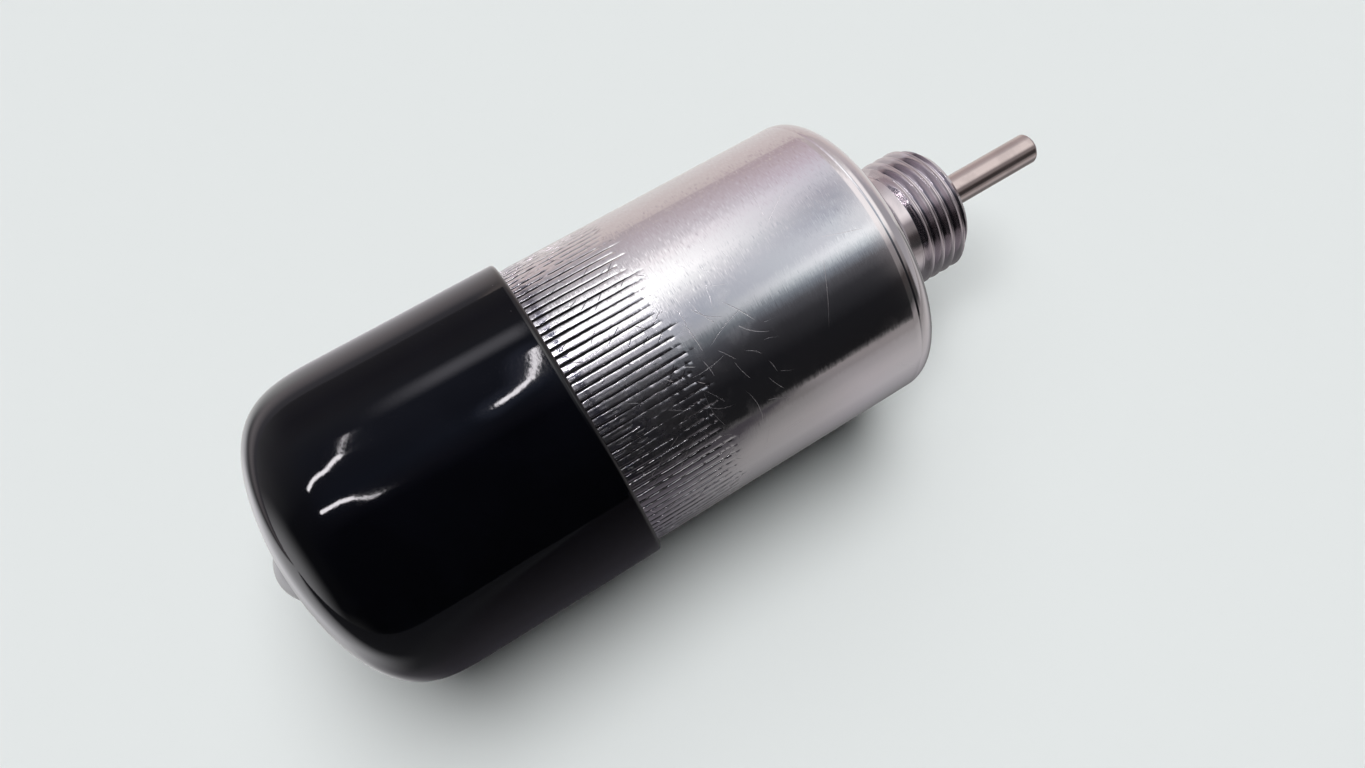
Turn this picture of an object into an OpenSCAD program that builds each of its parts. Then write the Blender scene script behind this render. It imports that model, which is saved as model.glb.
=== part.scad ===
// Push-pull solenoid: a drawn steel housing with a threaded neck, a sprung plunger and
// push pin inside one coil, and a dip-moulded vinyl cap over the terminals.
// The axis lies along +X towards the push pin. The origin is the centre of the housing's
// front face, which seats against the panel that the neck screws into.

/* [Housing] */
// Outer diameter of the drawn steel housing
body_d = 35; // [33:0.5:42]
// Length of the housing from its front face to its rear rim
body_len = 57; // [54:0.5:75]
// Wall of the housing
can_wall = 1.4; // [1:0.1:2]
// Thickness of the housing's front wall
front_wall = 1.8; // [1.4:0.1:3]
// Radius round the edge of the front face
shoulder_r = 2.4; // [1:0.1:4]
// How far the rear rim is rolled in over the terminal plate
rim_lip = 2.2; // [1.2:0.1:2.8]

/* [Knurl] */
// Number of straight grooves round the housing
knurl_count = 115; // [80:1:130]
// Depth of a groove
knurl_depth = 0.22; // [0.1:0.02:0.4]
// Width of a groove at the surface
knurl_width = 0.3; // [0.2:0.05:0.5]
// Distance from the front face to the knurl
knurl_start = 26; // [20:0.5:32]
// Length of the knurled band
knurl_len = 26; // [16:0.5:26]

/* [Threaded neck] */
// Major diameter of the thread
thread_d = 16; // [14:1:18]
// Pitch of the thread
thread_pitch = 1.5; // [1:0.25:1.75]
// Length of the neck in front of the housing
neck_len = 13.1; // [12.5:0.1:20]
// Diameter of the spigot that passes through the housing's front wall
spigot_d = 18; // [17:0.5:20]
// How far the spigot stands in front of the housing
spigot_len = 3.2; // [2:0.1:3.6]
// Diameter of the smooth relief behind the thread
relief_d = 14.4; // [13.8:0.1:14.8]
// Distance from the front face to the end of the relief
relief_end = 6.4; // [5.8:0.1:7]
// Length of the chamfer at the end of the neck
neck_chamfer_len = 1.4; // [0.8:0.1:1.8]
// Depth of the chamfer at the end of the neck
neck_chamfer = 1.2; // [0.6:0.1:1.5]
// Thickness of the pole flange inside the housing
flange_t = 5; // [4:0.5:8]
// Depth of the seal pocket in the end of the neck
pocket_len = 2.6; // [2.2:0.1:3.2]
// Diameter of the seal pocket
pocket_d = 10; // [9:0.1:10.8]

/* [Guide bush and seal] */
// Outer diameter of the guide bush
bush_d = 8; // [7:0.1:8.6]
// Length of the guide bush
bush_len = 9; // [6:0.5:11]
// Length of the wiper seal
seal_len = 1.9; // [1.5:0.1:2]
// Thickness of the washer that keeps the seal in
seal_washer_t = 0.5; // [0.3:0.05:0.6]
// Radial room between that washer and the pin
seal_washer_gap = 0.4; // [0.2:0.05:1]

/* [Push pin] */
// Diameter of the pin where the bush guides it
pin_d = 4.3; // [3.5:0.1:5]
// How much smaller the free end is than the guided part
pin_relief = 0.37; // [0.32:0.01:0.6]
// How far the pin stands out of the neck with the coil off
pin_reach = 15.8; // [12:0.1:24]
// Length of the smaller free end of the pin
pin_free_len = 14; // [8:0.5:15]
// Chamfer at the tip of the pin
pin_chamfer = 0.4; // [0.1:0.05:0.8]
// Diameter of the pin's root in the plunger
pin_root_d = 5; // [4.5:0.1:6]
// Length of the pin's root in the plunger
pin_root_len = 10; // [8:0.5:11]
// How far the pin's root stands in front of the plunger
pin_root_stand = 0.8; // [0.4:0.1:1]
// Travel of the plunger
stroke = 9; // [6:0.5:10]

/* [Plunger, core and tube] */
// Diameter of the plunger
plunger_d = 12; // [11:0.25:13]
// Depth of the spring bore in the plunger
plunger_bore_len = 9; // [7:0.5:10]
// Diameter of the spring bores in the plunger and in the core
spring_bore_d = 9.2; // [8.8:0.1:9.6]
// Width of each air groove along the plunger
air_groove_w = 1.2; // [0.8:0.1:1.6]
// Depth of each air groove along the plunger
air_groove_depth = 0.6; // [0.3:0.05:0.8]
// Diameter of the cross pin that holds the push pin in the plunger
cross_pin_d = 1.5; // [1:0.1:2]
// Distance of the cross pin from the plunger's front face
cross_pin_back = 5; // [3:0.5:7]
// How far each end of the cross pin lies below the plunger's surface
cross_pin_inset = 0.3; // [0.2:0.05:0.8]
// Length of the fixed core inside the guide tube
core_len = 9.5; // [8:0.5:12]
// Depth of the spring bore in the fixed core
core_bore_len = 4; // [3:0.5:6]
// Diameter of the core's spigot in the flux plate
core_spigot_d = 9; // [7:0.5:10]
// Diameter of the air hole through the core
vent_d = 2.4; // [1.5:0.1:3]
// Wall of the brass guide tube
tube_wall = 0.5; // [0.3:0.05:0.8]
// Depth of the seat for the guide tube in the pole flange
tube_seat = 2; // [1.5:0.1:3]
// Thickness of the stop washer in front of the plunger
stop_washer_t = 1; // [0.6:0.1:1.2]
// Radial room between the stop washer and the pin's root
stop_washer_gap = 0.4; // [0.2:0.05:1]

/* [Return spring] */
// Diameter of the spring wire
spring_wire = 0.9; // [0.6:0.05:1]
// Mean diameter of the spring
spring_d = 7.4; // [7:0.1:7.8]
// Number of turns
spring_turns = 7; // [6:0.5:8]

/* [Coil] */
// Wall of the bobbin's tube
bobbin_wall = 0.9; // [0.6:0.1:1.2]
// Thickness of the bobbin's end flanges
bobbin_flange_t = 1.2; // [0.8:0.1:1.6]
// Space between the winding and the bobbin's rim
winding_inset = 1.2; // [0.8:0.1:2]
// Thickness of the tape round the winding
tape_t = 0.3; // [0.2:0.05:0.5]

/* [Rear stack] */
// Thickness of the rear flux plate
flux_t = 4; // [3:0.5:5]
// Height of the wave washer
wave_h = 1.2; // [1:0.1:1.6]
// Thickness of the wave washer's strip
wave_t = 0.4; // [0.3:0.05:0.5]
// Radial width of the wave washer's strip
wave_w = 3.6; // [2.5:0.1:4]
// Space between the wave washer and the housing
wave_gap = 0.12; // [0.05:0.01:0.3]
// Thickness of the terminal plate
plate_t = 3; // [2.4:0.1:4]
// Thickness of the gasket under the rolled rim
gasket_t = 0.6; // [0.4:0.05:1]
// How far the gasket's bore lies outside the rolled rim
gasket_inset = 0.2; // [0.1:0.05:0.6]

/* [Terminals] */
// Width of a blade terminal
blade_w = 6.3; // [4.8:0.1:6.4]
// Thickness of a blade terminal
blade_t = 0.8; // [0.6:0.05:0.9]
// How far a blade stands behind the terminal plate
blade_len = 9.6; // [8:0.1:10.5]
// Distance of a blade's inner face from the axis
blade_y = 5.5; // [5:0.1:6]
// Length of a terminal's foot
foot_len = 7; // [6.5:0.1:7.2]
// Depth of the foot's recess in the terminal plate
foot_recess = 0.4; // [0.2:0.05:0.6]
// Taper at the end of a blade
blade_taper = 1.2; // [0.8:0.1:1.6]
// Diameter of the hole near a blade's end
blade_hole_d = 1.7; // [1.2:0.1:2]
// Distance of a rivet from the axis
rivet_y = 9.5; // [9:0.1:9.8]
// Diameter of a rivet's shank
rivet_d = 3; // [2.4:0.1:3.2]
// Diameter of a rivet's head
rivet_head_d = 4.8; // [4:0.1:5]
// Height of a rivet's head
rivet_head_h = 0.8; // [0.5:0.1:1]
// Height of a rivet's flared front end
rivet_flare_h = 0.5; // [0.3:0.05:0.7]
// Diameter of a rivet's flared front end
rivet_flare_d = 4; // [3.6:0.1:4.4]
// Diameter of a coil lead
lead_d = 0.9; // [0.6:0.05:1.1]
// Wall of the insulating sleeve round a lead
sleeve_wall = 0.8; // [0.4:0.05:0.9]

/* [Vinyl cap] */
// Wall of the cap
cap_wall = 0.95; // [0.7:0.05:1.5]
// Length of housing that the cap covers
cap_cover = 19.9; // [14:0.1:24]
// Room inside the cap behind the housing
cap_room = 11.1; // [10.5:0.05:16]
// Radius round the cap's closed end
cap_corner_r = 7.2; // [4:0.1:8]
// Radius round the edge of the cap's rim
cap_rim_r = 0.6; // [0.2:0.05:0.7]
// Diameter of the drip nub at its base
nub_d = 13; // [10:0.5:15]
// Height of the drip nub
nub_h = 4.3; // [2.5:0.1:5]
// Distance of the drip nub from the axis
nub_offset = 1; // [0:0.1:2]

/* [Clearances] */
// Radial clearance of pressed and nested parts
fit_gap = 0.03; // [0.02:0.01:0.06]
// Axial clearance between stacked parts
stack_gap = 0.03; // [0.02:0.01:0.06]
// Radial clearance where the pin or plunger slides
slide_gap = 0.05; // [0.03:0.01:0.08]
// Clearance between the plunger and the core at full stroke
pole_gap = 0.1; // [0.05:0.01:0.2]
// Radial clearance between the cap and the housing
cap_gap = 0.05; // [0.03:0.01:0.08]
// Space between the bobbin's flanges and the housing
bobbin_gap = 0.3; // [0.15:0.05:0.6]

/* [Hidden] */
$fn = 96;

// Radii
body_r = body_d / 2;
can_in_r = body_r - can_wall;
lip_r = can_in_r - rim_lip;
spigot_r = spigot_d / 2;
thread_r = thread_d / 2;
thread_root_r = thread_r - 0.6134 * thread_pitch;
relief_r = relief_d / 2;
pin_r = pin_d / 2;
pin_free_r = (pin_d - pin_relief) / 2;
pin_root_r = pin_root_d / 2;
bush_r = bush_d / 2;
pocket_r = pocket_d / 2;
plunger_r = plunger_d / 2;
tube_in_r = plunger_r + slide_gap;
tube_out_r = tube_in_r + tube_wall;
core_r = tube_in_r - fit_gap;
bobbin_bore_r = tube_out_r + fit_gap;
bobbin_tube_r = bobbin_bore_r + bobbin_wall;
bobbin_rim_r = can_in_r - bobbin_gap;
winding_r = bobbin_rim_r - winding_inset;
cap_in_r = body_r + cap_gap;
cap_r = cap_in_r + cap_wall;
sleeve_r = lead_d / 2 + fit_gap + sleeve_wall;

// Places along the axis, from the front face back
flange_front = -front_wall - stack_gap;
flange_rear = flange_front - flange_t;
tube_front = flange_rear + tube_seat;
stop_rear = tube_front - stack_gap - stop_washer_t;
plunger_front = stop_rear - stack_gap;
cross_pin_x = plunger_front - cross_pin_back;
lip_front = -body_len + can_wall;
gasket_front = lip_front + stack_gap + gasket_t;
plate_rear = gasket_front + stack_gap;
plate_front = plate_rear + plate_t;
wave_front = plate_front + wave_h;
flux_front = wave_front + flux_t;
bobbin_rear = flux_front + stack_gap;
bobbin_front = flange_rear - stack_gap;
core_face = flux_front + core_len;
plunger_rear = core_face + pole_gap + stroke;
spring_front = plunger_rear + plunger_bore_len - stack_gap;
spring_rear = core_face - core_bore_len + stack_gap;
cap_rim = -body_len + cap_cover;
cap_inside = -body_len - cap_room;
cap_rear = cap_inside - cap_wall;

// Places on the neck and the pin
pocket_rear = neck_len - pocket_len;
bush_front = pocket_rear - stack_gap;
bush_rear = bush_front - bush_len;
seal_rear = pocket_rear + stack_gap;
seal_front = seal_rear + seal_len;
pin_tip = neck_len + pin_reach;
pin_step = pin_tip - pin_free_len;
pin_end = plunger_front - pin_root_len;
pin_shoulder = plunger_front + pin_root_stand;

// Thread form: 60 degree flanks and a crest flat of an eighth of the pitch
crest_half = thread_pitch / 16;
flank_len = (thread_r - thread_root_r) * tan(30);
first_crest = relief_end + 0.3 * thread_pitch;
crest_room = neck_len - neck_chamfer_len - first_crest - 2 * crest_half;
crest_count = floor(crest_room / thread_pitch) + 1;

steel = [0.72, 0.70, 0.71];
dark_steel = [0.45, 0.45, 0.47];
bronze = [0.62, 0.45, 0.25];
brass = [0.80, 0.65, 0.32];
copper = [0.72, 0.38, 0.20];
rubber = [0.08, 0.08, 0.08];
nylon = [0.85, 0.83, 0.76];
phenolic = [0.32, 0.18, 0.10];
vinyl = [0.03, 0.03, 0.04];

// Points along a round stretch of an outline, from angle a0 to angle a1
function arc(centre, radius, a0, a1, steps = 10) = [
    for (i = [0:steps])
        let (a = a0 + (a1 - a0) * i / steps)
        centre + radius * [cos(a), sin(a)]
];

// Turned solid whose outline is a list of [radius, place along the axis]
module turned(outline) rotate([0, 90, 0]) rotate_extrude() polygon(outline);

// Plain ring or disc on the axis between two places
module ring(x0, x1, r_out, r_in = 0)
    turned([[r_in, x0], [r_out, x0], [r_out, x1], [r_in, x1]]);

// Rod or hole along the axis at a distance y from it
module axial_rod(x0, x1, radius, y = 0)
    translate([x0, y, 0]) rotate([0, 90, 0]) cylinder(r = radius, h = x1 - x0);

// Both of a pair placed either side of the axis
module pair() {
    children();
    mirror([0, 1, 0]) children();
}

// Front of the housing: closed wall, rounded shoulder and smooth tube
module housing_front()
    turned(concat(
        [[spigot_r + fit_gap, -front_wall], [spigot_r + fit_gap, 0]],
        arc([body_r - shoulder_r, -shoulder_r], shoulder_r, 90, 0, 14),
        [[body_r, -knurl_start], [can_in_r, -knurl_start], [can_in_r, -front_wall]]
    ));

// Rear of the housing: smooth tube and the rim rolled in over the terminal plate
module housing_rear() {
    roll_r = can_wall * 0.8;
    turned(concat(
        [[can_in_r, -knurl_start - knurl_len], [body_r, -knurl_start - knurl_len]],
        arc([body_r - roll_r, -body_len + roll_r], roll_r, 0, -90, 8),
        [[lip_r, -body_len], [lip_r, lip_front], [can_in_r, lip_front]]
    ));
}

// Knurled band of the housing: straight grooves with flat lands between them
module housing_knurl()
    translate([-knurl_start - knurl_len, 0, 0]) rotate([0, 90, 0])
        linear_extrude(knurl_len)
            difference() {
                circle(body_r);
                circle(can_in_r);
                for (i = [0:knurl_count - 1])
                    rotate(i * 360 / knurl_count) translate([body_r, 0])
                        polygon([
                            [-knurl_depth, 0],
                            [knurl_depth, knurl_width],
                            [knurl_depth, -knurl_width]
                        ]);
            }

module housing() color(steel) union() {
    housing_front();
    housing_knurl();
    housing_rear();
}

// Outline of the neck in front of the housing, with rings in place of the thread's helix
module neck_outline() {
    flare_r = spigot_r - relief_r;
    intersection() {
        polygon(concat(
            [[0, flange_front], [spigot_r, flange_front], [spigot_r, spigot_len]],
            arc([spigot_r, spigot_len + flare_r], flare_r, -90, -180, 8),
            [[relief_r, relief_end]],
            [
                for (i = [0:crest_count], side = [-1, 1], step = side < 0 ? [1, 0] : [0, 1])
                    [
                        thread_r - step * (thread_r - thread_root_r),
                        first_crest + i * thread_pitch + side * (crest_half + step * flank_len)
                    ]
            ],
            [[thread_root_r, neck_len + thread_pitch], [0, neck_len + thread_pitch]]
        ));
        polygon([
            [0, flange_front], [spigot_r, flange_front], [spigot_r, spigot_len + flare_r],
            [thread_r, spigot_len + flare_r], [thread_r, neck_len - neck_chamfer_len],
            [thread_r - neck_chamfer, neck_len], [0, neck_len]
        ]);
    }
}

module threaded_neck() color(steel) difference() {
    union() {
        rotate([0, 90, 0]) rotate_extrude() neck_outline();
        ring(flange_rear, flange_front, can_in_r - fit_gap);
    }
    axial_rod(flange_rear - 1, neck_len + 1, bush_r + fit_gap);
    axial_rod(pocket_rear, neck_len + 1, pocket_r);
    axial_rod(flange_rear - 1, tube_front, tube_out_r + fit_gap);
}

module guide_bush() color(bronze)
    ring(bush_rear, bush_front, bush_r, pin_r + slide_gap);

// Rubber ring in the seal pocket, with a lip that wipes the pin
module wiper_seal() color(rubber) {
    lip = pin_r + slide_gap;
    throat = pin_r + (pocket_r - pin_r) * 0.35;
    turned([
        [throat, seal_rear], [pocket_r - fit_gap, seal_rear],
        [pocket_r - fit_gap, seal_front], [lip, seal_front],
        [lip, seal_front - seal_len * 0.25], [throat, seal_rear + seal_len * 0.3]
    ]);
}

module seal_washer() color(steel)
    ring(seal_front + stack_gap, seal_front + stack_gap + seal_washer_t,
        pocket_r - fit_gap, pin_r + seal_washer_gap);

module cross_pin_hole(gap)
    translate([cross_pin_x, 0, -plunger_r - 1])
        cylinder(r = cross_pin_d / 2 + gap, h = plunger_d + 2);

module push_pin() color(dark_steel) difference() {
    turned([
        [0, pin_end], [pin_root_r, pin_end], [pin_root_r, pin_shoulder], [pin_r, pin_shoulder],
        [pin_r, pin_step], [pin_free_r, pin_step], [pin_free_r, pin_tip - pin_chamfer],
        [pin_free_r - pin_chamfer, pin_tip], [0, pin_tip]
    ]);
    cross_pin_hole(fit_gap);
}

module plunger() color(steel) difference() {
    ring(plunger_rear, plunger_front, plunger_r);
    axial_rod(pin_end - stack_gap, plunger_front + 1, pin_root_r + fit_gap);
    axial_rod(plunger_rear - 1, plunger_rear + plunger_bore_len, spring_bore_d / 2);
    pair()
        translate([plunger_rear - 1, plunger_r - air_groove_depth, -air_groove_w / 2])
            cube([plunger_front - plunger_rear + 2, air_groove_depth + 1, air_groove_w]);
    cross_pin_hole(fit_gap);
}

module cross_pin() color(dark_steel)
    translate([cross_pin_x, 0, -plunger_r + cross_pin_inset])
        cylinder(r = cross_pin_d / 2, h = plunger_d - 2 * cross_pin_inset);

module stop_washer() color(phenolic)
    ring(stop_rear, stop_rear + stop_washer_t, tube_in_r - fit_gap, pin_root_r + stop_washer_gap);

module guide_tube() color(brass)
    ring(flux_front + stack_gap, tube_front - stack_gap, tube_out_r, tube_in_r);

// Place along the axis of the spring's wire after t turns: one closed turn at each end
function spring_x(t) =
    let (
        closed = 1.05 * spring_wire,
        x0 = spring_rear + spring_wire / 2,
        x1 = spring_front - spring_wire / 2
    )
    t < 1 ? x0 + closed * t
    : t > spring_turns - 1 ? x1 - closed * (spring_turns - t)
    : x0 + closed + (x1 - x0 - 2 * closed) * (t - 1) / (spring_turns - 2);

module return_spring() color(dark_steel) {
    sides = 8;
    per_turn = 12;
    rings = round(spring_turns * per_turn);
    points = [
        for (i = [0:rings], k = [0:sides - 1])
            let (
                t = spring_turns * i / rings,
                turn = 360 * t,
                round_wire = 360 * k / sides,
                r = (spring_d + spring_wire * cos(round_wire)) / 2
            )
            [
                spring_x(t) + spring_wire / 2 * sin(round_wire),
                r * cos(turn),
                r * sin(turn)
            ]
    ];
    walls = [
        for (i = [0:rings - 1], k = [0:sides - 1])
            let (a = i * sides + k, b = i * sides + (k + 1) % sides)
            [a, b, b + sides, a + sides]
    ];
    ends = [
        [for (k = [sides - 1:-1:0]) k],
        [for (k = [0:sides - 1]) rings * sides + k]
    ];
    polyhedron(points, concat(walls, ends));
}

module rear_core() color(steel) difference() {
    union() {
        ring(flux_front + stack_gap, core_face, core_r);
        ring(wave_front, flux_front + stack_gap, core_spigot_d / 2);
    }
    axial_rod(core_face - core_bore_len, core_face + 1, spring_bore_d / 2);
    axial_rod(wave_front - 1, core_face, vent_d / 2);
}

module flux_plate() color(steel) difference() {
    ring(wave_front, flux_front, can_in_r - fit_gap, core_spigot_d / 2 + fit_gap);
    pair() axial_rod(wave_front - 1, flux_front + 1, sleeve_r + fit_gap, rivet_y);
}

module coil_bobbin() color(nylon) difference() {
    turned([
        [bobbin_bore_r, bobbin_rear], [bobbin_rim_r, bobbin_rear],
        [bobbin_rim_r, bobbin_rear + bobbin_flange_t],
        [bobbin_tube_r, bobbin_rear + bobbin_flange_t],
        [bobbin_tube_r, bobbin_front - bobbin_flange_t],
        [bobbin_rim_r, bobbin_front - bobbin_flange_t],
        [bobbin_rim_r, bobbin_front], [bobbin_bore_r, bobbin_front]
    ]);
    pair()
        axial_rod(bobbin_rear - 1, bobbin_rear + bobbin_flange_t + 0.2, lead_d / 2 + fit_gap, rivet_y);
}

module coil_winding() color(copper)
    ring(bobbin_rear + bobbin_flange_t + stack_gap, bobbin_front - bobbin_flange_t - stack_gap,
        winding_r, bobbin_tube_r + fit_gap);

module winding_tape() color(phenolic)
    ring(bobbin_rear + bobbin_flange_t + stack_gap, bobbin_front - bobbin_flange_t - stack_gap,
        winding_r + fit_gap + tape_t, winding_r + fit_gap);

// Spring strip bent into three waves between the flux plate and the terminal plate
module wave_washer() color(dark_steel) {
    steps = 72;
    waves = 3;
    r1 = can_in_r - wave_gap;
    r0 = r1 - wave_w;
    middle = (plate_front + wave_front) / 2;
    swing = (wave_h - wave_t) / 2 - stack_gap;
    corners = [[r0, -1], [r1, -1], [r1, 1], [r0, 1]];
    points = [
        for (i = [0:steps - 1], c = corners)
            let (a = 360 * i / steps)
            [middle + swing * cos(waves * a) + c[1] * wave_t / 2, c[0] * cos(a), c[0] * sin(a)]
    ];
    faces = [
        for (i = [0:steps - 1], k = [0:3])
            let (a = 4 * i, b = 4 * ((i + 1) % steps), m = (k + 1) % 4)
            [a + k, b + k, b + m, a + m]
    ];
    polyhedron(points, faces);
}

module lead_wires() color(copper)
    pair() axial_rod(plate_front + rivet_flare_h + stack_gap,
        bobbin_rear + bobbin_flange_t, lead_d / 2, rivet_y);

module lead_sleeves() color(nylon) pair() difference() {
    axial_rod(wave_front, flux_front, sleeve_r, rivet_y);
    axial_rod(wave_front - 1, flux_front + 1, lead_d / 2 + fit_gap, rivet_y);
}

// Recess or outline of a terminal's foot, grown by a gap on every side
module foot_block(x0, x1, gap)
    translate([x0, blade_y - gap, -blade_w / 2 - gap])
        cube([x1 - x0, foot_len + 2 * gap, blade_w + 2 * gap]);

module terminal_plate() color(phenolic) difference() {
    ring(plate_rear, plate_front, can_in_r - fit_gap);
    pair() {
        foot_block(plate_rear - 1, plate_rear + foot_recess, fit_gap);
        axial_rod(plate_rear - 1, plate_front + 1, rivet_d / 2 + fit_gap, rivet_y);
    }
}

module plate_gasket() color(rubber)
    ring(lip_front + stack_gap, gasket_front, can_in_r - fit_gap, lip_r + gasket_inset);

// Right-angled blade terminal: a riveted foot and a blade with a tapered end
module terminal() {
    seat = plate_rear + foot_recess - stack_gap;
    tip = plate_rear - blade_len;
    difference() {
        union() {
            foot_block(seat - blade_t, seat, 0);
            translate([0, blade_y + blade_t, 0]) rotate([90, 0, 0])
                linear_extrude(blade_t)
                    polygon([
                        [seat, -blade_w / 2], [seat, blade_w / 2],
                        [tip + blade_taper, blade_w / 2], [tip, blade_w / 2 - blade_taper],
                        [tip, -blade_w / 2 + blade_taper], [tip + blade_taper, -blade_w / 2]
                    ]);
        }
        axial_rod(seat - blade_t - 1, seat + 1, rivet_d / 2 + fit_gap, rivet_y);
        translate([tip + 3 * blade_taper, blade_y - 1, 0]) rotate([-90, 0, 0])
            cylinder(d = blade_hole_d, h = blade_t + 2);
    }
}

module right_terminal() color(brass) mirror([0, 1, 0]) terminal();
module left_terminal() color(brass) terminal();

module terminal_rivets() color(brass) pair() {
    foot_rear = plate_rear + foot_recess - stack_gap - blade_t;
    union() {
        axial_rod(foot_rear - rivet_head_h, foot_rear - stack_gap, rivet_head_d / 2, rivet_y);
        axial_rod(foot_rear - rivet_head_h, plate_front + rivet_flare_h, rivet_d / 2, rivet_y);
        axial_rod(plate_front + stack_gap, plate_front + rivet_flare_h, rivet_flare_d / 2, rivet_y);
    }
}

// Dip-moulded cap: rounded closed end with the nub that the last drip leaves
module vinyl_cap() color(vinyl) union() {
    corner = [cap_r - cap_corner_r, cap_rear + cap_corner_r];
    turned(concat(
        [[0, cap_rear]],
        arc(corner, cap_corner_r, -90, 0, 16),
        arc([cap_r - cap_rim_r, cap_rim - cap_rim_r], cap_rim_r, 0, 90, 5),
        [[cap_in_r, cap_rim]],
        arc(corner, cap_corner_r - cap_wall, 0, -90, 16),
        [[0, cap_inside]]
    ));
    translate([0, 0, nub_offset])
        turned(concat(
            [for (i = [0:10]) [nub_d * i / 20, cap_rear - nub_h * pow(cos(i * 9), 1.2)]],
            [[nub_d * 0.5, cap_rear + cap_wall / 2], [0, cap_rear + cap_wall / 2]]
        ));
}

housing();
threaded_neck();
guide_bush();
wiper_seal();
seal_washer();
push_pin();
plunger();
cross_pin();
stop_washer();
guide_tube();
return_spring();
rear_core();
flux_plate();
coil_bobbin();
coil_winding();
winding_tape();
wave_washer();
lead_wires();
lead_sleeves();
terminal_plate();
plate_gasket();
left_terminal();
right_terminal();
terminal_rivets();
vinyl_cap();
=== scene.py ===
import math

import bmesh
import bpy
import numpy as np
from bpy.props import FloatProperty, FloatVectorProperty, IntProperty, PointerProperty
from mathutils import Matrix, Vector, noise


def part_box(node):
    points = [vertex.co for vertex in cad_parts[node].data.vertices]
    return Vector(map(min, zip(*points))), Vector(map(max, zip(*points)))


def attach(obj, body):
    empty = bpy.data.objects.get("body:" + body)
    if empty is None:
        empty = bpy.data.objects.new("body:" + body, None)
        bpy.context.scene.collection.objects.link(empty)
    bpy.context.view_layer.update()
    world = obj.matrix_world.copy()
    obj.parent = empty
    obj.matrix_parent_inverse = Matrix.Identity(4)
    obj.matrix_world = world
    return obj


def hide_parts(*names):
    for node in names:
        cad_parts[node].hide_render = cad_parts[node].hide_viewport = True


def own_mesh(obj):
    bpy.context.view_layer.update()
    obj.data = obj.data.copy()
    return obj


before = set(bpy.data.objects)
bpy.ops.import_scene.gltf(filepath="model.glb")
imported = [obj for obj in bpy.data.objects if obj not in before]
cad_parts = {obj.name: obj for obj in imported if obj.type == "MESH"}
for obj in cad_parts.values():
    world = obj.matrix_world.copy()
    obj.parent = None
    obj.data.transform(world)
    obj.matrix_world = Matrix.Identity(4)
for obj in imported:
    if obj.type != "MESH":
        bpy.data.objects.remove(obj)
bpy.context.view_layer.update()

bl_info = {
    "name": "Push-pull solenoid",
    "version": (1, 0, 0),
    "blender": (4, 5, 0),
    "location": "3D View > Sidebar > Solenoid",
    "description": "Builds the visible pieces and finishes of a push-pull solenoid round its CAD frame",
    "category": "Add Mesh",
}

MM = 0.001
TURN = 2 * math.pi
BODY, PLUNGER, CAP = "solenoid_body", "plunger_unit", "cap"
# Factors that darken a metal at marked places: painted shade on the pin's tip chamfer, and darker
# thread roots on the neck
DARKER_BY = (0.70, 0.69, 0.72)


def span(node):
    """Lowest and highest corner of a CAD node in millimetres."""
    low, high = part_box(node)
    return low / MM, high / MM


HOUSING_LOW, HOUSING_HIGH = span("housing")
NECK_LOW, NECK_HIGH = span("threaded_neck")
PIN_LOW, PIN_HIGH = span("push_pin")
CAP_LOW, CAP_HIGH = span("vinyl_cap")
SPRING_LOW, SPRING_HIGH = span("return_spring")
BUSH_HIGH, TUBE_HIGH = span("guide_bush")[1], span("guide_tube")[1]


def size(label, text, value, **limits):
    """A length in millimetres that a user may change."""
    return FloatProperty(name=label, description=text, default=value, precision=3, **limits)


def colour(label, text, value):
    """A linear colour that a user may change."""
    return FloatVectorProperty(name=label, description=text, default=value, size=3,
                               subtype="COLOR", min=0.0, max=1.0)


# ---------------------------------------------------------------- properties


class SolenoidHousingSizes(bpy.types.PropertyGroup):
    radius: size("Radius", "Outer radius of the housing, mm", HOUSING_HIGH.z)
    rear: size("Rear", "Place of the rolled rim along the axis, mm", HOUSING_LOW.x)
    wall: size("Wall", "Thickness of the drawn tube, mm", 1.4)
    front_wall: size("Front wall", "Thickness of the front wall, mm", 1.8)
    shoulder: size("Shoulder", "Radius round the front edge, mm", 2.4)
    rim_lip: size("Rim lip", "How far the rear rim is rolled in, mm", 2.2)
    hole: size("Hole", "Radius of the hole in the front wall, mm", 9.03)
    grooves: IntProperty(name="Grooves", description="Number of knurl grooves", default=115)
    knurl_front: size("Knurl front", "Front end of the knurled band, mm", -26.0)
    knurl_rear: size("Knurl rear", "Rear end of the knurled band, mm", -52.0)
    groove_width: size("Groove width", "Width of a groove at the surface, mm", 0.27)
    groove_depth: size("Groove depth", "Depth of a groove, mm", 0.22)


class SolenoidNeckSizes(bpy.types.PropertyGroup):
    front: size("Front", "Front end of the neck, mm", NECK_HIGH.x)
    rear: size("Rear", "Rear face of the pole flange, mm", NECK_LOW.x)
    flange_radius: size("Flange radius", "Radius of the pole flange, mm", NECK_HIGH.z)
    flange_front: size("Flange front", "Front face of the pole flange, mm", -1.83)
    spigot_radius: size("Spigot radius", "Radius of the spigot, mm", 9.0)
    spigot_length: size("Spigot length", "Length of the spigot, mm", 3.2)
    relief_radius: size("Relief radius", "Radius of the relief behind the thread, mm", 7.2)
    relief_end: size("Relief end", "Front end of the relief, mm", 6.4)
    crest_radius: size("Crest radius", "Outer radius of the thread, mm", 8.0)
    root_radius: size("Root radius", "Root radius of the thread, mm", 7.08)
    pitch: size("Pitch", "Pitch of the thread, mm", 1.5)
    first_crest: size("First crest", "Place of the first crest above the axis, mm", 6.85)
    chamfer_length: size("Chamfer length", "Length of the end chamfer, mm", 1.4)
    chamfer_depth: size("Chamfer depth", "Depth of the end chamfer, mm", 1.2)
    pocket_radius: size("Pocket radius", "Radius of the seal pocket, mm", 5.0)


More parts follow.
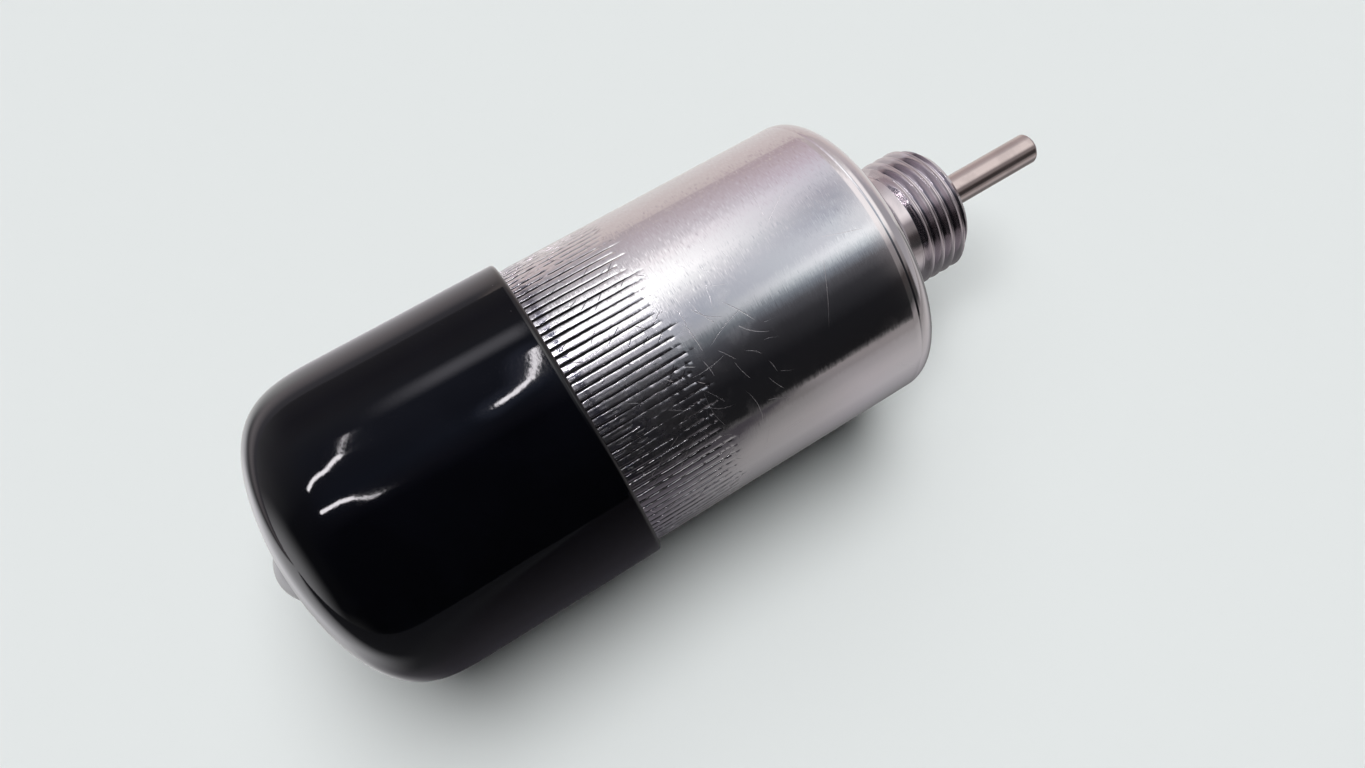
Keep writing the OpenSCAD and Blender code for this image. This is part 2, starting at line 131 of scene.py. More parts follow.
class SolenoidCapSizes(bpy.types.PropertyGroup):
    radius: size("Radius", "Outer radius of the cap, mm", CAP_HIGH.z)
    rim: size("Rim", "Place of the cap's rim along the axis, mm", CAP_HIGH.x)
    tip: size("Tip", "Rear end of the drip nub, mm", CAP_LOW.x)
    wall: size("Wall", "Thickness of the vinyl, mm", 0.95)
    nub_height: size("Nub height", "Height of the drip nub above the end, mm", 4.3)
    nub_radius: size("Nub radius", "Radius of the drip nub at its base, mm", 6.5)
    nub_offset: size("Nub offset", "How far the nub lies above the axis, mm", 1.0)
    crown: size("Crown", "How far the closed end bulges, mm", 0.5)
    round_length: size("Round length", "Length over which the closed end is rounded, mm", 13.0)
    squareness: FloatProperty(name="Squareness", description="Fullness of the rounded end",
                              default=4.0, min=2.0, max=8.0)
    rim_radius: size("Rim radius", "Radius round the edge of the rim, mm", 0.45)
    waviness: size("Waviness", "Depth of the dipped skin's slow waves, mm", 0.05)
    rim_skew: FloatProperty(name="Rim skew", description="Lean of the rim's edge",
                            default=math.radians(1.2), subtype="ANGLE")


class SolenoidSpringSizes(bpy.types.PropertyGroup):
    front: size("Front", "Front end of the spring, mm", SPRING_HIGH.x)
    rear: size("Rear", "Rear end of the spring, mm", SPRING_LOW.x)
    radius: size("Radius", "Outer radius of the spring, mm", SPRING_HIGH.z)
    wire: size("Wire", "Diameter of the wire, mm", 0.9)
    turns: IntProperty(name="Turns", description="Number of turns", default=7)


class SolenoidFinishes(bpy.types.PropertyGroup):
    zinc: colour("Zinc", "Bright zinc plate of the housing", (0.80, 0.79, 0.80))
    neck_zinc: colour("Neck zinc", "Zinc plate of the neck", (0.74, 0.70, 0.72))
    pin: colour("Pin", "Ground steel of the push pin", (0.63, 0.56, 0.54))
    iron: colour("Iron", "Turned soft iron", (0.46, 0.46, 0.47))
    spring: colour("Spring steel", "Drawn spring wire", (0.42, 0.42, 0.44))
    bronze: colour("Bronze", "Sintered bronze", (0.56, 0.36, 0.18))
    brass: colour("Brass", "Rolled brass", (0.76, 0.58, 0.26))
    copper: colour("Copper", "Enamelled copper wire", (0.70, 0.30, 0.12))
    rubber: colour("Rubber", "Moulded rubber", (0.022, 0.022, 0.023))
    nylon: colour("Nylon", "Natural nylon", (0.74, 0.70, 0.58))
    fibre: colour("Fibre", "Vulcanised fibre", (0.38, 0.10, 0.06))
    tape: colour("Tape", "Amber insulating tape", (0.62, 0.42, 0.08))
    phenolic: colour("Phenolic", "Brown paper phenolic", (0.16, 0.07, 0.03))
    vinyl: colour("Vinyl", "Dip-moulded black vinyl", (0.0008, 0.0009, 0.0016))
    # Colour of the painted shade in the knurl's grooves
    groove_shade: colour("Knurl_shade", "Dark dirt in the knurl", (0.012, 0.011, 0.013))
    floor: colour("Floor", "Pale floor", (0.80, 0.832, 0.832))


class SolenoidStudio(bpy.types.PropertyGroup):
    camera_place: FloatVectorProperty(name="Camera", description="Camera's place, m", size=3,
                                      default=(-0.0409, -0.0288, 0.0877), subtype="XYZ")
    camera_aim: FloatVectorProperty(name="Aim", description="Point that the camera faces, m",
                                    size=3, default=(-0.0255, -0.0039, 0.0), subtype="XYZ")
    lens: FloatProperty(name="Lens", description="Focal length, mm", default=21.1)
    key: FloatProperty(name="Key", description="Strength of the broad overhead light",
                       default=2.50)
    fill: FloatProperty(name="Fill", description="Strength of the lower side light",
                        default=0.78)


def sizes(part):
    return getattr(bpy.context.scene, "solenoid_" + part)


# ---------------------------------------------------------------- node helpers


class Value:
    """Output of a node. Arithmetic on it adds nodes, and | gives the greater of two."""

    def __init__(self, net, socket):
        self.net, self.socket = net, socket

    def __add__(self, other):
        return self.net.math("ADD", self, other)

    def __radd__(self, other):
        return self.net.math("ADD", other, self)

    def __sub__(self, other):
        return self.net.math("SUBTRACT", self, other)

    def __rsub__(self, other):
        return self.net.math("SUBTRACT", other, self)

    def __mul__(self, other):
        return self.net.math("MULTIPLY", self, other)

    def __truediv__(self, other):
        return self.net.math("DIVIDE", self, other)

    def __rtruediv__(self, other):
        return self.net.math("DIVIDE", other, self)

    def __or__(self, other):
        return self.net.math("MAXIMUM", self, other)


class Net:
    """Short hand for building a node tree."""

    def __init__(self, tree):
        self.tree = tree

    def add(self, kind, **settings):
        """A new node with its settings."""
        node = self.tree.nodes.new(kind)
        for key, value in settings.items():
            setattr(node, key, value)
        return node

    def fill(self, node, inputs):
        """Feeds or sets inputs by name or number. A value of None leaves one alone."""
        for key, value in inputs.items():
            if isinstance(value, Value):
                self.tree.links.new(value.socket, node.inputs[key])
            elif value is not None:
                socket = node.inputs[key]
                socket.default_value = (*value, 1.0) if socket.type == "RGBA" else value
        return node

    def node(self, kind, inputs, output=0, **settings):
        """One output of a new node."""
        return self.take(self.fill(self.add(kind, **settings), inputs), output)

    def take(self, node, output):
        return Value(self, node.outputs[output])

    def math(self, operation, a, b=None, clamp=False):
        return self.node("ShaderNodeMath", {0: a, 1: b}, operation=operation, use_clamp=clamp)

    def vector(self, operation, a, b=None, scale=None):
        return self.node("ShaderNodeVectorMath", {0: a, 1: b, "Scale": scale}, "Vector",
                         operation=operation)

    def mix(self, factor, a, b, blend="MIX"):
        return self.node("ShaderNodeMix", {"Factor": factor, 6: a, 7: b}, 2,
                         data_type="RGBA", blend_type=blend)

    def fit(self, value, low, high, out_low=0.0, out_high=1.0, smooth=True):
        """Maps low to high onto out_low to out_high, and holds the ends."""
        numbered = dict(enumerate((value, low, high, out_low, out_high)))
        return self.node("ShaderNodeMapRange", numbered,
                         interpolation_type="SMOOTHSTEP" if smooth else "LINEAR")

    def window(self, value, rise, fall):
        """Mask that fades in over one stretch of a value and out over another."""
        return self.fit(value, *rise) * self.fit(value, *fall)

    def noise(self, vector, scale, detail=2.0, roughness=0.5, distortion=0.0):
        return self.node("ShaderNodeTexNoise",
                         {"Vector": vector, "Scale": scale, "Detail": detail,
                          "Roughness": roughness, "Distortion": distortion}, "Fac")

    def parts(self, vector):
        node = self.fill(self.add("ShaderNodeSeparateXYZ"), {0: vector})
        return [self.take(node, axis) for axis in range(3)]

    def join(self, x, y, z):
        return self.node("ShaderNodeCombineXYZ", {0: x, 1: y, 2: z})

    def ramp(self, factor, stops):
        """Colour by stops of a place and a colour, or of a place and one number for a grey."""
        node = self.add("ShaderNodeValToRGB")
        marks = node.color_ramp.elements
        while len(marks) < len(stops):
            marks.new(0.5)
        for mark, (place, *shade) in zip(marks, stops):
            mark.position = place
            mark.color = (*(shade if len(shade) == 3 else shade * 3), 1.0)
        return self.take(self.fill(node, {0: factor}), 0)

    def bump(self, height, normal=None):
        """Normal of a surface with a height in millimetres."""
        return self.node("ShaderNodeBump", {"Strength": 1.0, "Distance": MM, "Height": height,
                                            "Normal": normal})

    def place(self):
        """Place on the object in millimetres."""
        return self.vector("SCALE", self.node("ShaderNodeTexCoord", {}, "Object"), scale=1 / MM)

    def group(self, effect, **given):
        """Outputs of a node group by name."""
        node = self.add("ShaderNodeGroup", node_tree=effect())
        self.fill(node, {key.replace("_", " "): value for key, value in given.items()})
        return {socket.name: Value(self, socket) for socket in node.outputs}

    def mask(self, effect, **given):
        return self.group(effect, **given)["Mask"]

    def first_sight(self):
        """Light path node, and 1 where the light hasn't been scattered yet."""
        path = self.add("ShaderNodeLightPath")
        return path, self.math("SUBTRACT", 1.0, self.take(path, "Diffuse Depth"), clamp=True)


FLOAT, VECTOR = "NodeSocketFloat", "NodeSocketVector"


def node_group(name, inputs, outputs):
    """Makes a function, which gives its outputs, into a shader node group built only once.
    An input without a number is a vector."""
    def wrap(make):
        def build():
            if name in bpy.data.node_groups:
                return bpy.data.node_groups[name]
            tree = bpy.data.node_groups.new(name, "ShaderNodeTree")
            for label, value in inputs.items():
                kind = VECTOR if value is None else FLOAT
                socket = tree.interface.new_socket(name=label, in_out="INPUT", socket_type=kind)
                if value is not None:
                    socket.default_value = value
            for label, kind in outputs.items():
                tree.interface.new_socket(name=label, in_out="OUTPUT", socket_type=kind)
            net = Net(tree)
            source = net.add("NodeGroupInput")
            net.fill(net.add("NodeGroupOutput"),
                     make(net, {label: net.take(source, label) for label in inputs}))
            return tree
        return build
    return wrap


@node_group("Round coordinates", {"Radius": 17.5},
            {"Along": FLOAT, "Angle": FLOAT, "Unrolled": VECTOR, "Tangent": VECTOR,
             "Place": VECTOR})
def round_coordinates(net, given):
    """Places on a turned piece: along the axis and round it, both in millimetres."""
    place = net.place()
    x, y, z = net.parts(place)
    angle = net.math("ARCTAN2", y * -1.0, z)
    return {"Along": x, "Angle": net.math("DEGREES", angle), "Place": place,
            "Unrolled": net.join(x, angle * given["Radius"], 0.0),
            "Tangent": net.vector("NORMALIZE", net.join(0.0, z * -1.0, y))}


@node_group("Turned marks",
            {"Unrolled": None, "Tangent": None, "Tip": 0.02, "Dash tip": 0.05,
             "Dash cover": 0.3, "Width": 0.11},
            {"Normal": VECTOR, "Marks": FLOAT})
def turned_marks(net, given):
    """Fine marks round a turned or polished surface, which tip its normal round the axis."""
    x, y, _ = net.parts(given["Unrolled"])
    across = x / given["Width"]
    fine = net.noise(net.join(across, y * 0.5, 0.0), 1.0, 3.0, 0.6)
    slant = across + y * 0.9
    dash = net.noise(net.join(slant * 0.9, y * 1.15, 4.0), 1.0, 1.0, 0.4)
    limit = 0.78 - given["Dash cover"] * 0.3
    up = net.fit(dash, limit, limit + 0.05)
    down = net.fit(1.0 - dash, limit, limit + 0.05)
    lean = (fine - 0.5) * given["Tip"] * 2.0 + (up - down) * given["Dash tip"]
    normal = net.node("ShaderNodeNewGeometry", {}, "Normal")
    tipped = net.vector("ADD", normal, net.vector("SCALE", given["Tangent"], scale=lean))
    return {"Normal": net.vector("NORMALIZE", tipped), "Marks": fine}


@node_group("Scratches",
            {"Vector": None, "Spacing": 5.0, "Length": 4.0, "Width": 0.03, "Bend": 0.05,
             "Direction": 0.0, "Spread": 30.0, "Cover": 0.5, "Seed": 0.0},
            {"Mask": FLOAT})
def scratches(net, given):
    """Separate short scratches, each a slightly bent line with faded ends. Each lies in a
    cell of its own, whose colour gives three lots between 0 and 1."""
    flat = net.vector("MULTIPLY", given["Vector"], (1.0, 1.0, 0.0))
    place = net.vector("SCALE", flat, scale=1.0 / given["Spacing"])
    place = net.vector("ADD", place, net.join(given["Seed"], given["Seed"] * 0.37, 0.0))
    cell = net.fill(net.add("ShaderNodeTexVoronoi", voronoi_dimensions="2D"),
                    {"Vector": place, "Scale": 1.0})
    lot_a, lot_b, lot_c = net.parts(net.take(cell, "Color"))
    away = net.vector("SUBTRACT", place, net.take(cell, "Position"))
    x, y, _ = net.parts(net.vector("SCALE", away, scale=given["Spacing"]))
    turn = given["Direction"] + (lot_a - 0.5) * given["Spread"] * 2.0
    turn = net.math("RADIANS", turn)
    cosine, sine = net.math("COSINE", turn), net.math("SINE", turn)
    along = x * cosine + y * sine
    bow = along * along * ((lot_b - 0.5) * given["Bend"])
    over = net.math("ABSOLUTE", y * cosine - x * sine - bow)
    half = given["Length"] * (0.18 + lot_c * 0.32)
    taper = net.fit(net.math("ABSOLUTE", along) / half, 1.0, 0.5)
    line = net.fit(over, given["Width"] * (0.3 + taper), 0.0)
    kept = net.math("FRACT", lot_a * 7.3 + lot_b * 3.9)
    return {"Mask": line * taper * net.math("LESS_THAN", kept, given["Cover"])}


@node_group("Blotches", {"Vector": None, "Scale": 0.2, "Low": 0.4, "High": 0.65, "Detail": 3.0},
            {"Mask": FLOAT})
def blotches(net, given):
    """Slow uneven patches from 0 to 1, such as smears and stains."""
    field = net.noise(given["Vector"], given["Scale"], given["Detail"], 0.55, 0.3)
    return {"Mask": net.fit(field, given["Low"], given["High"])}


@node_group("Specks", {"Vector": None, "Spacing": 2.0, "Radius": 0.06, "Cover": 0.3},
            {"Mask": FLOAT})
def specks(net, given):
    """Scattered dots of dust or tiny pits."""
    cell = net.fill(net.add("ShaderNodeTexVoronoi"),
                    {"Vector": given["Vector"], "Scale": 1.0 / given["Spacing"]})
    away = net.take(cell, "Distance") * given["Spacing"]
    dot = net.fit(away, given["Radius"], given["Radius"] * 0.4)
    lot = net.parts(net.take(cell, "Color"))[0]
    return {"Mask": dot * net.math("LESS_THAN", lot, given["Cover"])}


def new_material(name):
    """An empty material with its Principled shader, node helper and shader inputs."""
    material = bpy.data.materials.new(name)
    material.use_nodes = True
    material.node_tree.nodes.clear()
    net = Net(material.node_tree)
    shader = net.add("ShaderNodeBsdfPrincipled")
    net.fill(net.add("ShaderNodeOutputMaterial"), {"Surface": net.take(shader, 0)})
    return material, net, shader


def toned(shade, factor):
    """A colour times a number or another colour."""
    factors = factor if hasattr(factor, "__len__") else (factor,) * 3
    return tuple(c * f for c, f in zip(shade, factors))


# ---------------------------------------------------------------- materials


# Metals: roughness, tip and width of their turning marks, darkness of stains, radius in mm
METALS = {
    "neck_zinc": (0.08, 0.010, 0.1, 0.06, 8.0),
    "pin_steel": (0.09, 0.016, 0.14, 0.08, 2.0),
    "spring_wire": (0.22, 0.06, 0.2, 0.2, 4.0),
    "turned_iron": (0.24, 0.08, 0.18, 0.2, 6.0),
    "spring_strip": (0.2, 0.05, 0.3, 0.2, 14.0),
    "sintered_bronze": (0.34, 0.1, 0.3, 0.35, 4.0),
    "drawn_brass": (0.2, 0.05, 0.2, 0.15, 6.5),
    "lead_copper": (0.24, 0.03, 0.2, 0.2, 1.0),
    "blade_brass": (0.2, 0.04, 0.15, 0.18, 8.0),
}
# Moulded and pressed materials: roughness, depth of the grain in mm, scale of the grain
MOULDED = {
    "natural_nylon": (0.42, 0.012, 1.4),
    "seal_rubber": (0.5, 0.02, 3.0),
    "gasket_rubber": (0.55, 0.02, 3.0),
    "red_fibre": (0.55, 0.03, 2.5),
    "amber_tape": (0.3, 0.01, 0.9),
    "paper_phenolic": (0.36, 0.015, 2.2),
}


def metal_finish(name, shade, darker_places=None):
    """Turned or drawn metal with fine marks round its axis and faint stains. Darker_places
    gives a mask of places to darken from the net and the round coordinates."""
    roughness, tip, width, stain, radius = METALS[name]
    material, net, shader = new_material(name)
    at = net.group(round_coordinates, Radius=radius)
    marks = net.group(turned_marks, Unrolled=at["Unrolled"], Tangent=at["Tangent"], Tip=tip,
                      Dash_tip=tip, Width=width)
    dull = net.mask(blotches, Vector=at["Place"], Scale=0.35)
    base = net.mix(dull, shade, toned(shade, 1 - stain))
    if darker_places:
        base = net.mix(darker_places(net, at), base, toned(shade, DARKER_BY))
    rough = net.fit(dull, 0, 1, roughness, roughness + 0.06) + marks["Marks"] * 0.04
    net.fill(shader, {"Base Color": base, "Roughness": rough, "Metallic": 1.0,
                      "Normal": marks["Normal"]})
    return material


def thread_roots(net, at):
    """Mask that darkens the neck towards the roots of its thread."""
    s = sizes("neck")
    _, y, z = net.parts(at["Place"])
    radial = net.math("SQRT", y * y + z * z)
    deep = net.fit(radial, s.crest_radius - 0.06, s.crest_radius - 0.45)
    return deep * net.fit(at["Along"], s.relief_end - 0.1, s.relief_end + 0.5)


def chamfer_shade(net, at):
    """Mask of painted shade on the chamfer at the tip of the pin."""
    return net.fit(at["Along"], PIN_HIGH.x - 0.5, PIN_HIGH.x - 0.34)


def housing_finish():
    """Bright zinc plate with smears, polishing marks and scratches, and a knurl with painted shade in
    its grooves and on its lower side.
    """
    look, body = sizes("finishes"), sizes("housing")
    material, net, shader = new_material("housing_zinc")
    at = net.group(round_coordinates, Radius=body.radius)
    along, angle, unrolled = at["Along"], at["Angle"], at["Unrolled"]
    lit_side = net.fit(angle, 22.0, -2.0, 0.12, 1.0)
    marks = net.group(turned_marks, Unrolled=unrolled, Tangent=at["Tangent"], Tip=0.020,
                      Dash_tip=lit_side * 0.09, Dash_cover=0.58, Width=0.075)

    def scratched(spacing, length, width, bend, direction, spread, cover, seed):
        return net.mask(scratches, Vector=unrolled, Spacing=spacing, Length=length,
                        Width=width, Bend=bend, Direction=direction, Spread=spread,
                        Cover=cover, Seed=seed)

    ragged = net.noise(unrolled, 0.9, 3.0)
    edge = along + (ragged - 0.5) * 2.4
    knurled = net.fit(edge, body.knurl_front + 0.3, body.knurl_front - 0.5)

    # Worn crests of the knurl: flecks and slanting strokes, and painted shade in patches on its lower
    # side
    crackle = net.noise(net.vector("MULTIPLY", unrolled, (0.8, 2.2, 1.0)), 2.1, 5.0, 0.72)
    worn = net.fit(net.noise(unrolled, 0.55, 2.0), 0.42, 0.62)
    flecks = net.fit(crackle, 0.40, 0.34) * (0.3 + worn)
    flecks = net.math("MULTIPLY", flecks, knurled, clamp=True)
    strokes = scratched(2.4, 3.4, 0.05, 0.1, -38.0, 10.0, 0.5, 2.0)
    strokes = (strokes | scratched(3.1, 2.6, 0.04, 0.1, 40.0, 30.0, 0.35, 6.0)) * knurled
    patches = net.noise(unrolled, 0.4, 4.0, 0.6)
    # Painted shade: patches that darken the knurl's lower side
    lower_knurl_shade = net.window(angle, (12.0, 24.0), (56.0, 46.0)) * net.fit(along, -27.0, -29.5)
    lower_knurl_shade = lower_knurl_shade * net.fit(patches, 0.40, 0.60)
    smudge = net.window(angle, (10.0, 22.0), (58.0, 46.0)) * net.fit(along, -26.8, -29.0)
    smudge = smudge * net.fit(patches, 0.36, 0.56)

    tinted = net.mask(blotches, Vector=at["Place"], Scale=0.05, Low=0.35, High=0.65)
    base = net.mix(tinted, look.zinc, toned(look.zinc, (1.0, 0.972, 0.985)))
    dull = toned(look.zinc, 0.25)
    for mask, share in ((flecks, 0.8), (strokes, 0.8), (lower_knurl_shade, 0.75)):
        base = net.mix(mask * share, base, dull)
    pits = net.mask(specks, Vector=unrolled, Spacing=9.0, Radius=0.2, Cover=0.3)
    base = net.mix(pits, base, (0.05, 0.045, 0.045))
    # Painted shade: the grooves turn dark and dull with their depth, by a mask stored on the mesh
    groove_shade = net.node("ShaderNodeAttribute", {}, "Fac", attribute_name="groove_grime")
    groove_shading = net.fit(groove_shade, 0.30, 0.50)

    # Hairlines on the smooth band: curls on the upper side, fine ones where it is lit
    near = net.window(along, (-16.5, -19.5), (-29.0, -25.0))
    near = near * net.fit(angle, 0.0, 12.0) * net.fit(angle, 58.0, 48.0)
    curls = scratched(3.0, 5.0, 0.04, 0.34, 70.0, 50.0, 0.85, 5.0)
    curls = (curls | scratched(4.4, 7.5, 0.035, 0.22, 35.0, 60.0, 0.85, 9.0)) * near
    fine = scratched(1.9, 2.3, 0.035, 0.3, 75.0, 25.0, 0.7, 14.0)
    fine = fine * net.window(along, (-12.0, -20.0), (-27.5, -25.5)) * lit_side
    stray = scratched(11.0, 9.0, 0.022, 0.02, 35.0, 80.0, 0.6, 21.0)
    lines = (curls | (stray * 0.7)) | (fine * 0.5)

    smear = net.mask(blotches, Vector=unrolled, Scale=0.16, Low=0.45, High=0.7)
    haze = net.fit(net.noise(unrolled, 0.5, 3.0), 0.48, 0.66)
    rough = net.fit(smear, 0.0, 1.0, 0.065, 0.10) + smudge * 0.22 + marks["Marks"] * 0.03
    rough = rough + haze * near * 0.12 + lines * 0.45 + knurled * 0.02
    rough = net.node("ShaderNodeMix", {"Factor": groove_shading, 2: rough, 3: 0.75}, data_type="FLOAT")
    height = crackle * knurled * 0.007 - strokes * 0.012 - lines * 0.004 - pits * 0.03
    net.fill(shader, {"Base Color": net.mix(groove_shading, base, look.groove_shade), "Roughness": rough,
                      "Metallic": 1.0 - groove_shading * 0.9,
                      "Normal": net.bump(height, marks["Normal"])})
    return material


def vinyl_finish():
    """Glossy black vinyl with a faint orange peel and a few dust specks."""
    look = sizes("finishes")
    material, net, shader = new_material("cap_vinyl")
    at = net.group(round_coordinates, Radius=18.5)
    dust = net.mask(specks, Vector=at["Place"], Spacing=2.6, Radius=0.075, Cover=0.28)
    bloom = net.mask(blotches, Vector=at["Place"], Scale=0.11, Low=0.4, High=0.7)
    base = net.mix(bloom, look.vinyl, toned(look.vinyl, 1.8))
    trimmed = net.fit(at["Along"], sizes("cap").rim - 0.9, sizes("cap").rim - 0.35)
    rough = net.fit(bloom, 0.0, 1.0, 0.04, 0.06) + trimmed * 0.10 + dust * 0.3
    peel = net.noise(at["Place"], 3.0, 2.0) * 0.0012
    net.fill(shader, {"Base Color": net.mix(dust * 0.5, base, (0.16, 0.15, 0.17)),
                      "Roughness": rough, "IOR": 1.5, "Normal": net.bump(peel + dust * 0.01)})
    return material


def moulded_finish(name, shade):
    """Moulded or pressed insulating material with a fine grain."""
    roughness, grain, scale = MOULDED[name]
    material, net, shader = new_material(name)
    place = net.group(round_coordinates)["Place"]
    mottle = net.mask(blotches, Vector=place, Scale=0.4)
    fine = net.noise(place, scale, 4.0, 0.6)
    rough = net.fit(fine, 0.3, 0.7, roughness - 0.06, roughness + 0.08)
    net.fill(shader, {"Base Color": net.mix(mottle, shade, toned(shade, 0.82)),
                      "Roughness": rough, "Normal": net.bump(fine * grain)})
    return material


def winding_finish():
    """Layer of enamelled wire, with a ridge for each turn."""
    look, wire = sizes("finishes"), 0.42
    material, net, shader = new_material("coil_wire")
    at = net.group(round_coordinates, Radius=14.6)
    wave = net.math("SINE", at["Along"] * (TURN / wire) * 0.5)
    ridge = net.math("POWER", net.math("ABSOLUTE", wave), 0.6)
    mottle = net.mask(blotches, Vector=at["Place"], Scale=0.3)
    base = net.mix(mottle, look.copper, toned(look.copper, 0.7))
    # Painted shade between neighbouring turns of wire
    net.fill(shader, {"Base Color": net.mix(net.fit(ridge, 0.5, 0.1), base, (0.05, 0.02, 0.01)),
                      "Roughness": net.fit(mottle, 0, 1, 0.22, 0.36), "Metallic": 1.0,
                      "Coat Weight": 0.4, "Normal": net.bump(ridge * 0.12)})
    return material


def floor_finish():
    """Pale floor. Mirrored rays see it glow with a painted reflection instead: warmer and lit on the +Y
    side, with painted shadow near the part.
    """
    look = sizes("finishes")
    material, net, _ = new_material("floor_paint")
    net.tree.nodes.clear()
    place = net.place()
    x, y, _ = net.parts(place)
    # Painted glow of the lit floor on the +Y side
    lit = net.ramp(net.fit(y, 0.0, 400.0, smooth=False), [
        (0.0, 0.74, 0.71, 0.70), (0.08, 0.75, 0.72, 0.71), (0.25, 0.70, 0.62, 0.61),
        (1.0, 0.66, 0.57, 0.56)])
    dim = net.fit(y, 50.0, 330.0) * net.fit(x, -15.0, -45.0)
    lit = net.mix(dim, lit, (0.30, 0.28, 0.30))
    # Painted shadow on the -Y side, darkest next to the part
    shade = net.ramp(net.fit(y, -18.0, -218.0, smooth=False), [
        (0.0, 0.15), (0.05, 0.30, 0.29, 0.30), (0.10, 0.41, 0.395, 0.40), (0.2, 0.41, 0.39, 0.39),
        (0.4, 0.33, 0.315, 0.315), (1.0, 0.23, 0.215, 0.215)])
    # Painted shadow towards the cap's end, and a brighter glow ahead of the part
    reach = y * -0.3 - 9.0
    under = net.ramp(net.fit(x - reach, -50.0, 40.0, smooth=False), [
        (0.0, 0.27, 0.26, 0.30), (0.13, 0.29, 0.28, 0.32), (0.30, 0.76), (0.44, 0.90),
        (0.55, 1.12, 1.12, 1.14), (1.0, 1.3, 1.28, 1.28)])
    shade = net.mix(1.0, shade, under, blend="MULTIPLY")
    lit = net.mix(net.fit(x, -30.0, -42.0), lit, (1.0, 1.02, 1.08), blend="MULTIPLY")
    mirrored = net.mix(net.fit(y, -14.0, 14.0), shade, lit)
    # Behind the cap's end: painted shade close to the part and a bright glow farther off
    close = net.ramp(net.fit(y, 60.0, -60.0, smooth=False), [
        (0.0, 0.75), (0.38, 0.85), (0.46, 0.55), (0.53, 0.52), (0.58, 0.74, 0.74, 0.75),
        (0.64, 0.78, 0.78, 0.79), (0.68, 0.42, 0.41, 0.43), (0.73, 0.20, 0.19, 0.21),
        (0.85, 0.12, 0.12, 0.13)])
    distant = net.window(y, (-75.0, -15.0), (75.0, 25.0))
    distant = net.mix(distant, (0.10, 0.10, 0.11), (1.95, 1.93, 2.0))
    behind = net.mix(net.fit(x, -80.0, -112.0), close, distant)
    beyond = net.fit(x, -66.0, -80.0) * net.fit(y, 120.0, 50.0)
    mirrored = net.mix(beyond, mirrored, behind)
    # Only mirrored rays see the painted glow; the camera and diffuse light see the plain pale floor
    path, direct = net.first_sight()
    glow = net.node("ShaderNodeEmission", {"Color": mirrored, "Strength": direct})
    grain = net.noise(place, 0.05, 2.0)
    shade = net.mix(grain, look.floor, toned(look.floor, 0.995))
    paint = net.node("ShaderNodeBsdfDiffuse", {"Color": shade})
    chosen = net.node("ShaderNodeMixShader",
                      {0: net.take(path, "Is Glossy Ray"), 1: paint, 2: glow})
    net.fill(net.add("ShaderNodeOutputMaterial"), {"Surface": chosen})
    return material


# ---------------------------------------------------------------- mesh helpers


def ring_points(along, radius, angles):
    """Points round the axis. Angle 0 is straight up and grows towards -Y."""
    along, radius, angles = np.broadcast_arrays(along, radius, angles)
    return np.stack([along, -radius * np.sin(angles), radius * np.cos(angles)], axis=-1) * MM


def round_angles(count):
    """Even angles round the axis."""
    return np.arange(count) * TURN / count


def arc(centre_x, centre_r, radius, start, end, steps):
    """Profile points (place along the axis, radius) on a circle, with angles in degrees."""
    return [(centre_x + radius * math.cos(math.radians(start + (end - start) * i / steps)),
             centre_r + radius * math.sin(math.radians(start + (end - start) * i / steps)))
            for i in range(steps + 1)]


def loft(name, rings, closed=False, sharp=40.0, masks=None, helix=None):
    """A mesh through rings of points, closed round each ring, with ends left at poles or
    joined front to rear. Every ring has the same number of points. A helix, given as
    (first ring, last ring, rings per turn), joins each ring's end to the ring a turn on."""
    rings = np.asarray(rings, float)
    rows, columns = rings.shape[:2]
    index = np.arange(rows * columns).reshape(rows, columns)
    onward = np.arange(rows)
    if helix:
        first, last, turn = helix
        screw = (onward >= first) & (onward <= last)
        onward = np.where(screw, np.minimum(onward + turn, last), onward)
    beside = np.concatenate([index[:, 1:], index[onward, 0][:, None]], axis=1)
    step = (lambda grid: np.roll(grid, -1, axis=0)) if closed else (lambda grid: grid[1:])
    keep = slice(None) if closed else slice(None, -1)
    quads = np.stack([index[keep], beside[keep], step(beside), step(index)],
                     axis=-1).reshape(-1, 4)
    points = rings.reshape(-1, 3)
    a, b, c, d = (points[quads[:, k]] for k in range(4))
    volume = np.einsum("ij,ij->i", a, np.cross(b, c)) + np.einsum("ij,ij->i", a, np.cross(c, d))
    if volume.sum() < 0:
        quads = quads[:, ::-1]
    mesh = bpy.data.meshes.new(name)
    mesh.vertices.add(len(points))
    mesh.vertices.foreach_set("co", points.ravel())
    mesh.loops.add(quads.size)
    mesh.loops.foreach_set("vertex_index", quads.ravel())
    mesh.polygons.add(len(quads))
    mesh.polygons.foreach_set("loop_start", np.arange(0, quads.size, 4))
    mesh.update(calc_edges=True)
    mesh.validate()
    for label, values in (masks or {}).items():
        layer = mesh.attributes.new(label, "FLOAT", "POINT")
        layer.data.foreach_set("value", np.asarray(values, np.float32).ravel())
    weld = bmesh.new()
    weld.from_mesh(mesh)
    bmesh.ops.remove_doubles(weld, verts=weld.verts, dist=1e-7)
    weld.to_mesh(mesh)
    weld.free()
    mesh.polygons.foreach_set("use_smooth", np.ones(len(mesh.polygons), bool))
    mesh.set_sharp_from_angle(angle=math.radians(sharp))
    piece = bpy.data.objects.new(name, mesh)
    bpy.context.scene.collection.objects.link(piece)
    return piece


def smooth(value):
    value = np.clip(value, 0.0, 1.0)
    return value * value * (3 - 2 * value)


def bell(value, middle, spread):
    """A smooth hump from 0 to 1 and back to 0."""
    return np.exp(-((value - middle) / spread) ** 2)


def slow_noise(points, scale, seed):
    """Smooth noise from about -1 to 1 at each point."""
    shift = Vector((seed * 7.3, seed * 3.1, seed * 5.7))
    flat = points.reshape(-1, 3)
    values = [noise.noise(Vector(p) * scale + shift) for p in flat]
    return np.array(values).reshape(points.shape[:-1])


# ---------------------------------------------------------------- pieces


